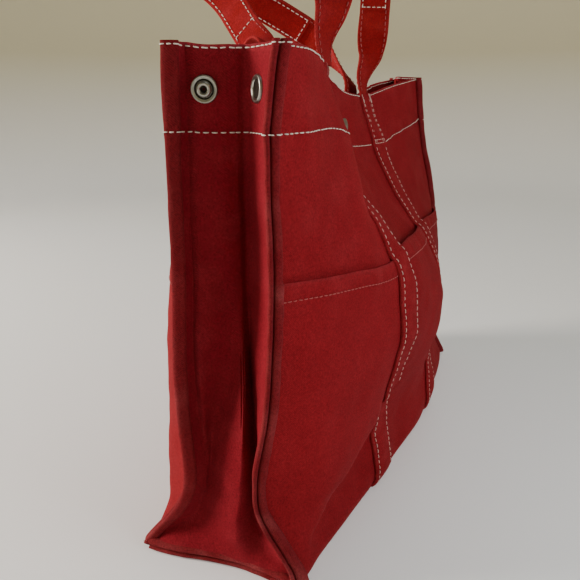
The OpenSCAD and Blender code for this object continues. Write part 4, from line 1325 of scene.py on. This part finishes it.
def wall_snap(wall):
    """A cap outside the wall and a snap half inside it."""
    outward = np.array([0.0, wall.side, 0.0])
    point = wall.at(0.0, SNAP_RISE)
    name = f"{wall.name}_snap"
    fitting(f"{name}_cap_metal", CAP, point + outward * 0.25, outward, mat_snap_dark, wall.body,
            f"{name}_cap")
    seat = point - outward * HEM_BACK
    name = f"{name}_{wall.snap}"
    fitting(f"{name}_metal", FACES[wall.snap], seat, -outward, mat_snap, wall.body, name)
    # A disc of painted shade over the inner snap half's opening.
    fitting(f"{name}_hollow", WALL_HOLLOW_SHADES[wall.snap], seat, -outward, mat_hollow_shade, wall.body)


for gusset in GUSSETS:
    for wall in WALLS:
        gusset_snap(gusset, wall)
for wall in WALLS:
    wall_snap(wall)


# ------------------------------------------------------ floor, light, camera
def floor():
    """A round pale floor that sweeps up into a wall all round."""
    flat, sweep, height, sides = 1500, 700, 700, 72
    turn = np.linspace(0, np.pi / 2, 14)[1:]
    radius = np.concatenate([np.linspace(0.0, flat, 12), flat + sweep * np.sin(turn),
                             [2200, 2200]])[:, None]
    z = np.concatenate([np.zeros(12), height * (1 - np.cos(turn)), [1400, 2400]])[:, None]
    angle = circle(sides)
    verts = xyz(radius * np.cos(angle), radius * np.sin(angle), z - 0.15).reshape(-1, 3)
    faces = [[a, d, c, b] for a, b, c, d in ring_faces(len(z), sides, capped=False)]
    ob = make("floor", verts, faces)
    # yellower and without glow as it climbs
    sh = Shader("pale_floor", Roughness=0.55, Emission_Color=(0.93, 0.96, 1.0))
    up = sh.node("SeparateXYZ", Vector=sh.place).outputs[2]
    climb = sh.times(up, 2.2, clamp=True)
    sh.set(sh.surface, Emission_Strength=sh.times(sh.minus(1.0, climb), 0.16),
           Base_Color=sh.mix(climb, (0.80, 0.81, 0.81), (0.60, 0.57, 0.40)))
    ob.data.materials.append(sh.material)


def area(name, location, aim, size, power, color):
    light = bpy.data.lights.new(name, "AREA")
    light.shape = "RECTANGLE"
    light.size = light.size_y = size
    light.energy, light.color = power, color
    ob = bpy.data.objects.new(name, light)
    bpy.context.scene.collection.objects.link(ob)
    ob.location = location
    ob.rotation_euler = (Vector(aim) - Vector(location)).to_track_quat("-Z", "Y").to_euler()


def camera(location, yaw, pitch, roll, lens):
    """A camera turned by yaw from +x, tilted down by pitch and rolled, in degrees."""
    data = bpy.data.cameras.new("camera")
    data.sensor_width = 36
    data.lens = lens
    data.clip_start, data.clip_end = 0.02, 20
    ob = bpy.data.objects.new("camera", data)
    bpy.context.scene.collection.objects.link(ob)
    yaw, pitch, roll = (math.radians(a) for a in (yaw, pitch, roll))
    forward = Vector((math.cos(yaw) * math.cos(pitch), math.sin(yaw) * math.cos(pitch),
                      -math.sin(pitch)))
    level = Vector((math.sin(yaw), -math.cos(yaw), 0.0))
    upright = level.cross(forward)
    right = level * math.cos(roll) + upright * math.sin(roll)
    up = upright * math.cos(roll) - level * math.sin(roll)
    pose = Matrix((right, up, -forward)).transposed().to_4x4()
    pose.translation = location
    ob.matrix_world = pose
    bpy.context.scene.camera = ob


floor()
area("key", location=(-0.76, 1.5, 0.70), aim=(-0.15, 0, 0.16), size=0.5, power=47,
     color=(1.0, 0.89, 0.80))
area("fill", location=(-0.17, -0.48, 0.36), aim=(-0.12, -0.05, 0.15), size=0.26, power=1.32,
     color=(0.95, 0.97, 1.0))
area("top", location=(0.3, -0.3, 1.8), aim=(0, 0, 0.1), size=1.2, power=7,
     color=(0.97, 0.99, 1.0))
world = bpy.data.worlds.new("studio")
world.use_nodes = True
background = world.node_tree.nodes["Background"]
background.inputs["Color"].default_value = (0.95, 0.93, 0.88, 1)
background.inputs["Strength"].default_value = 0.095
bpy.context.scene.world = world
camera(location=(-0.4426, -0.1659, 0.2748), yaw=25.11, pitch=17.73, roll=-0.31, lens=36.66)
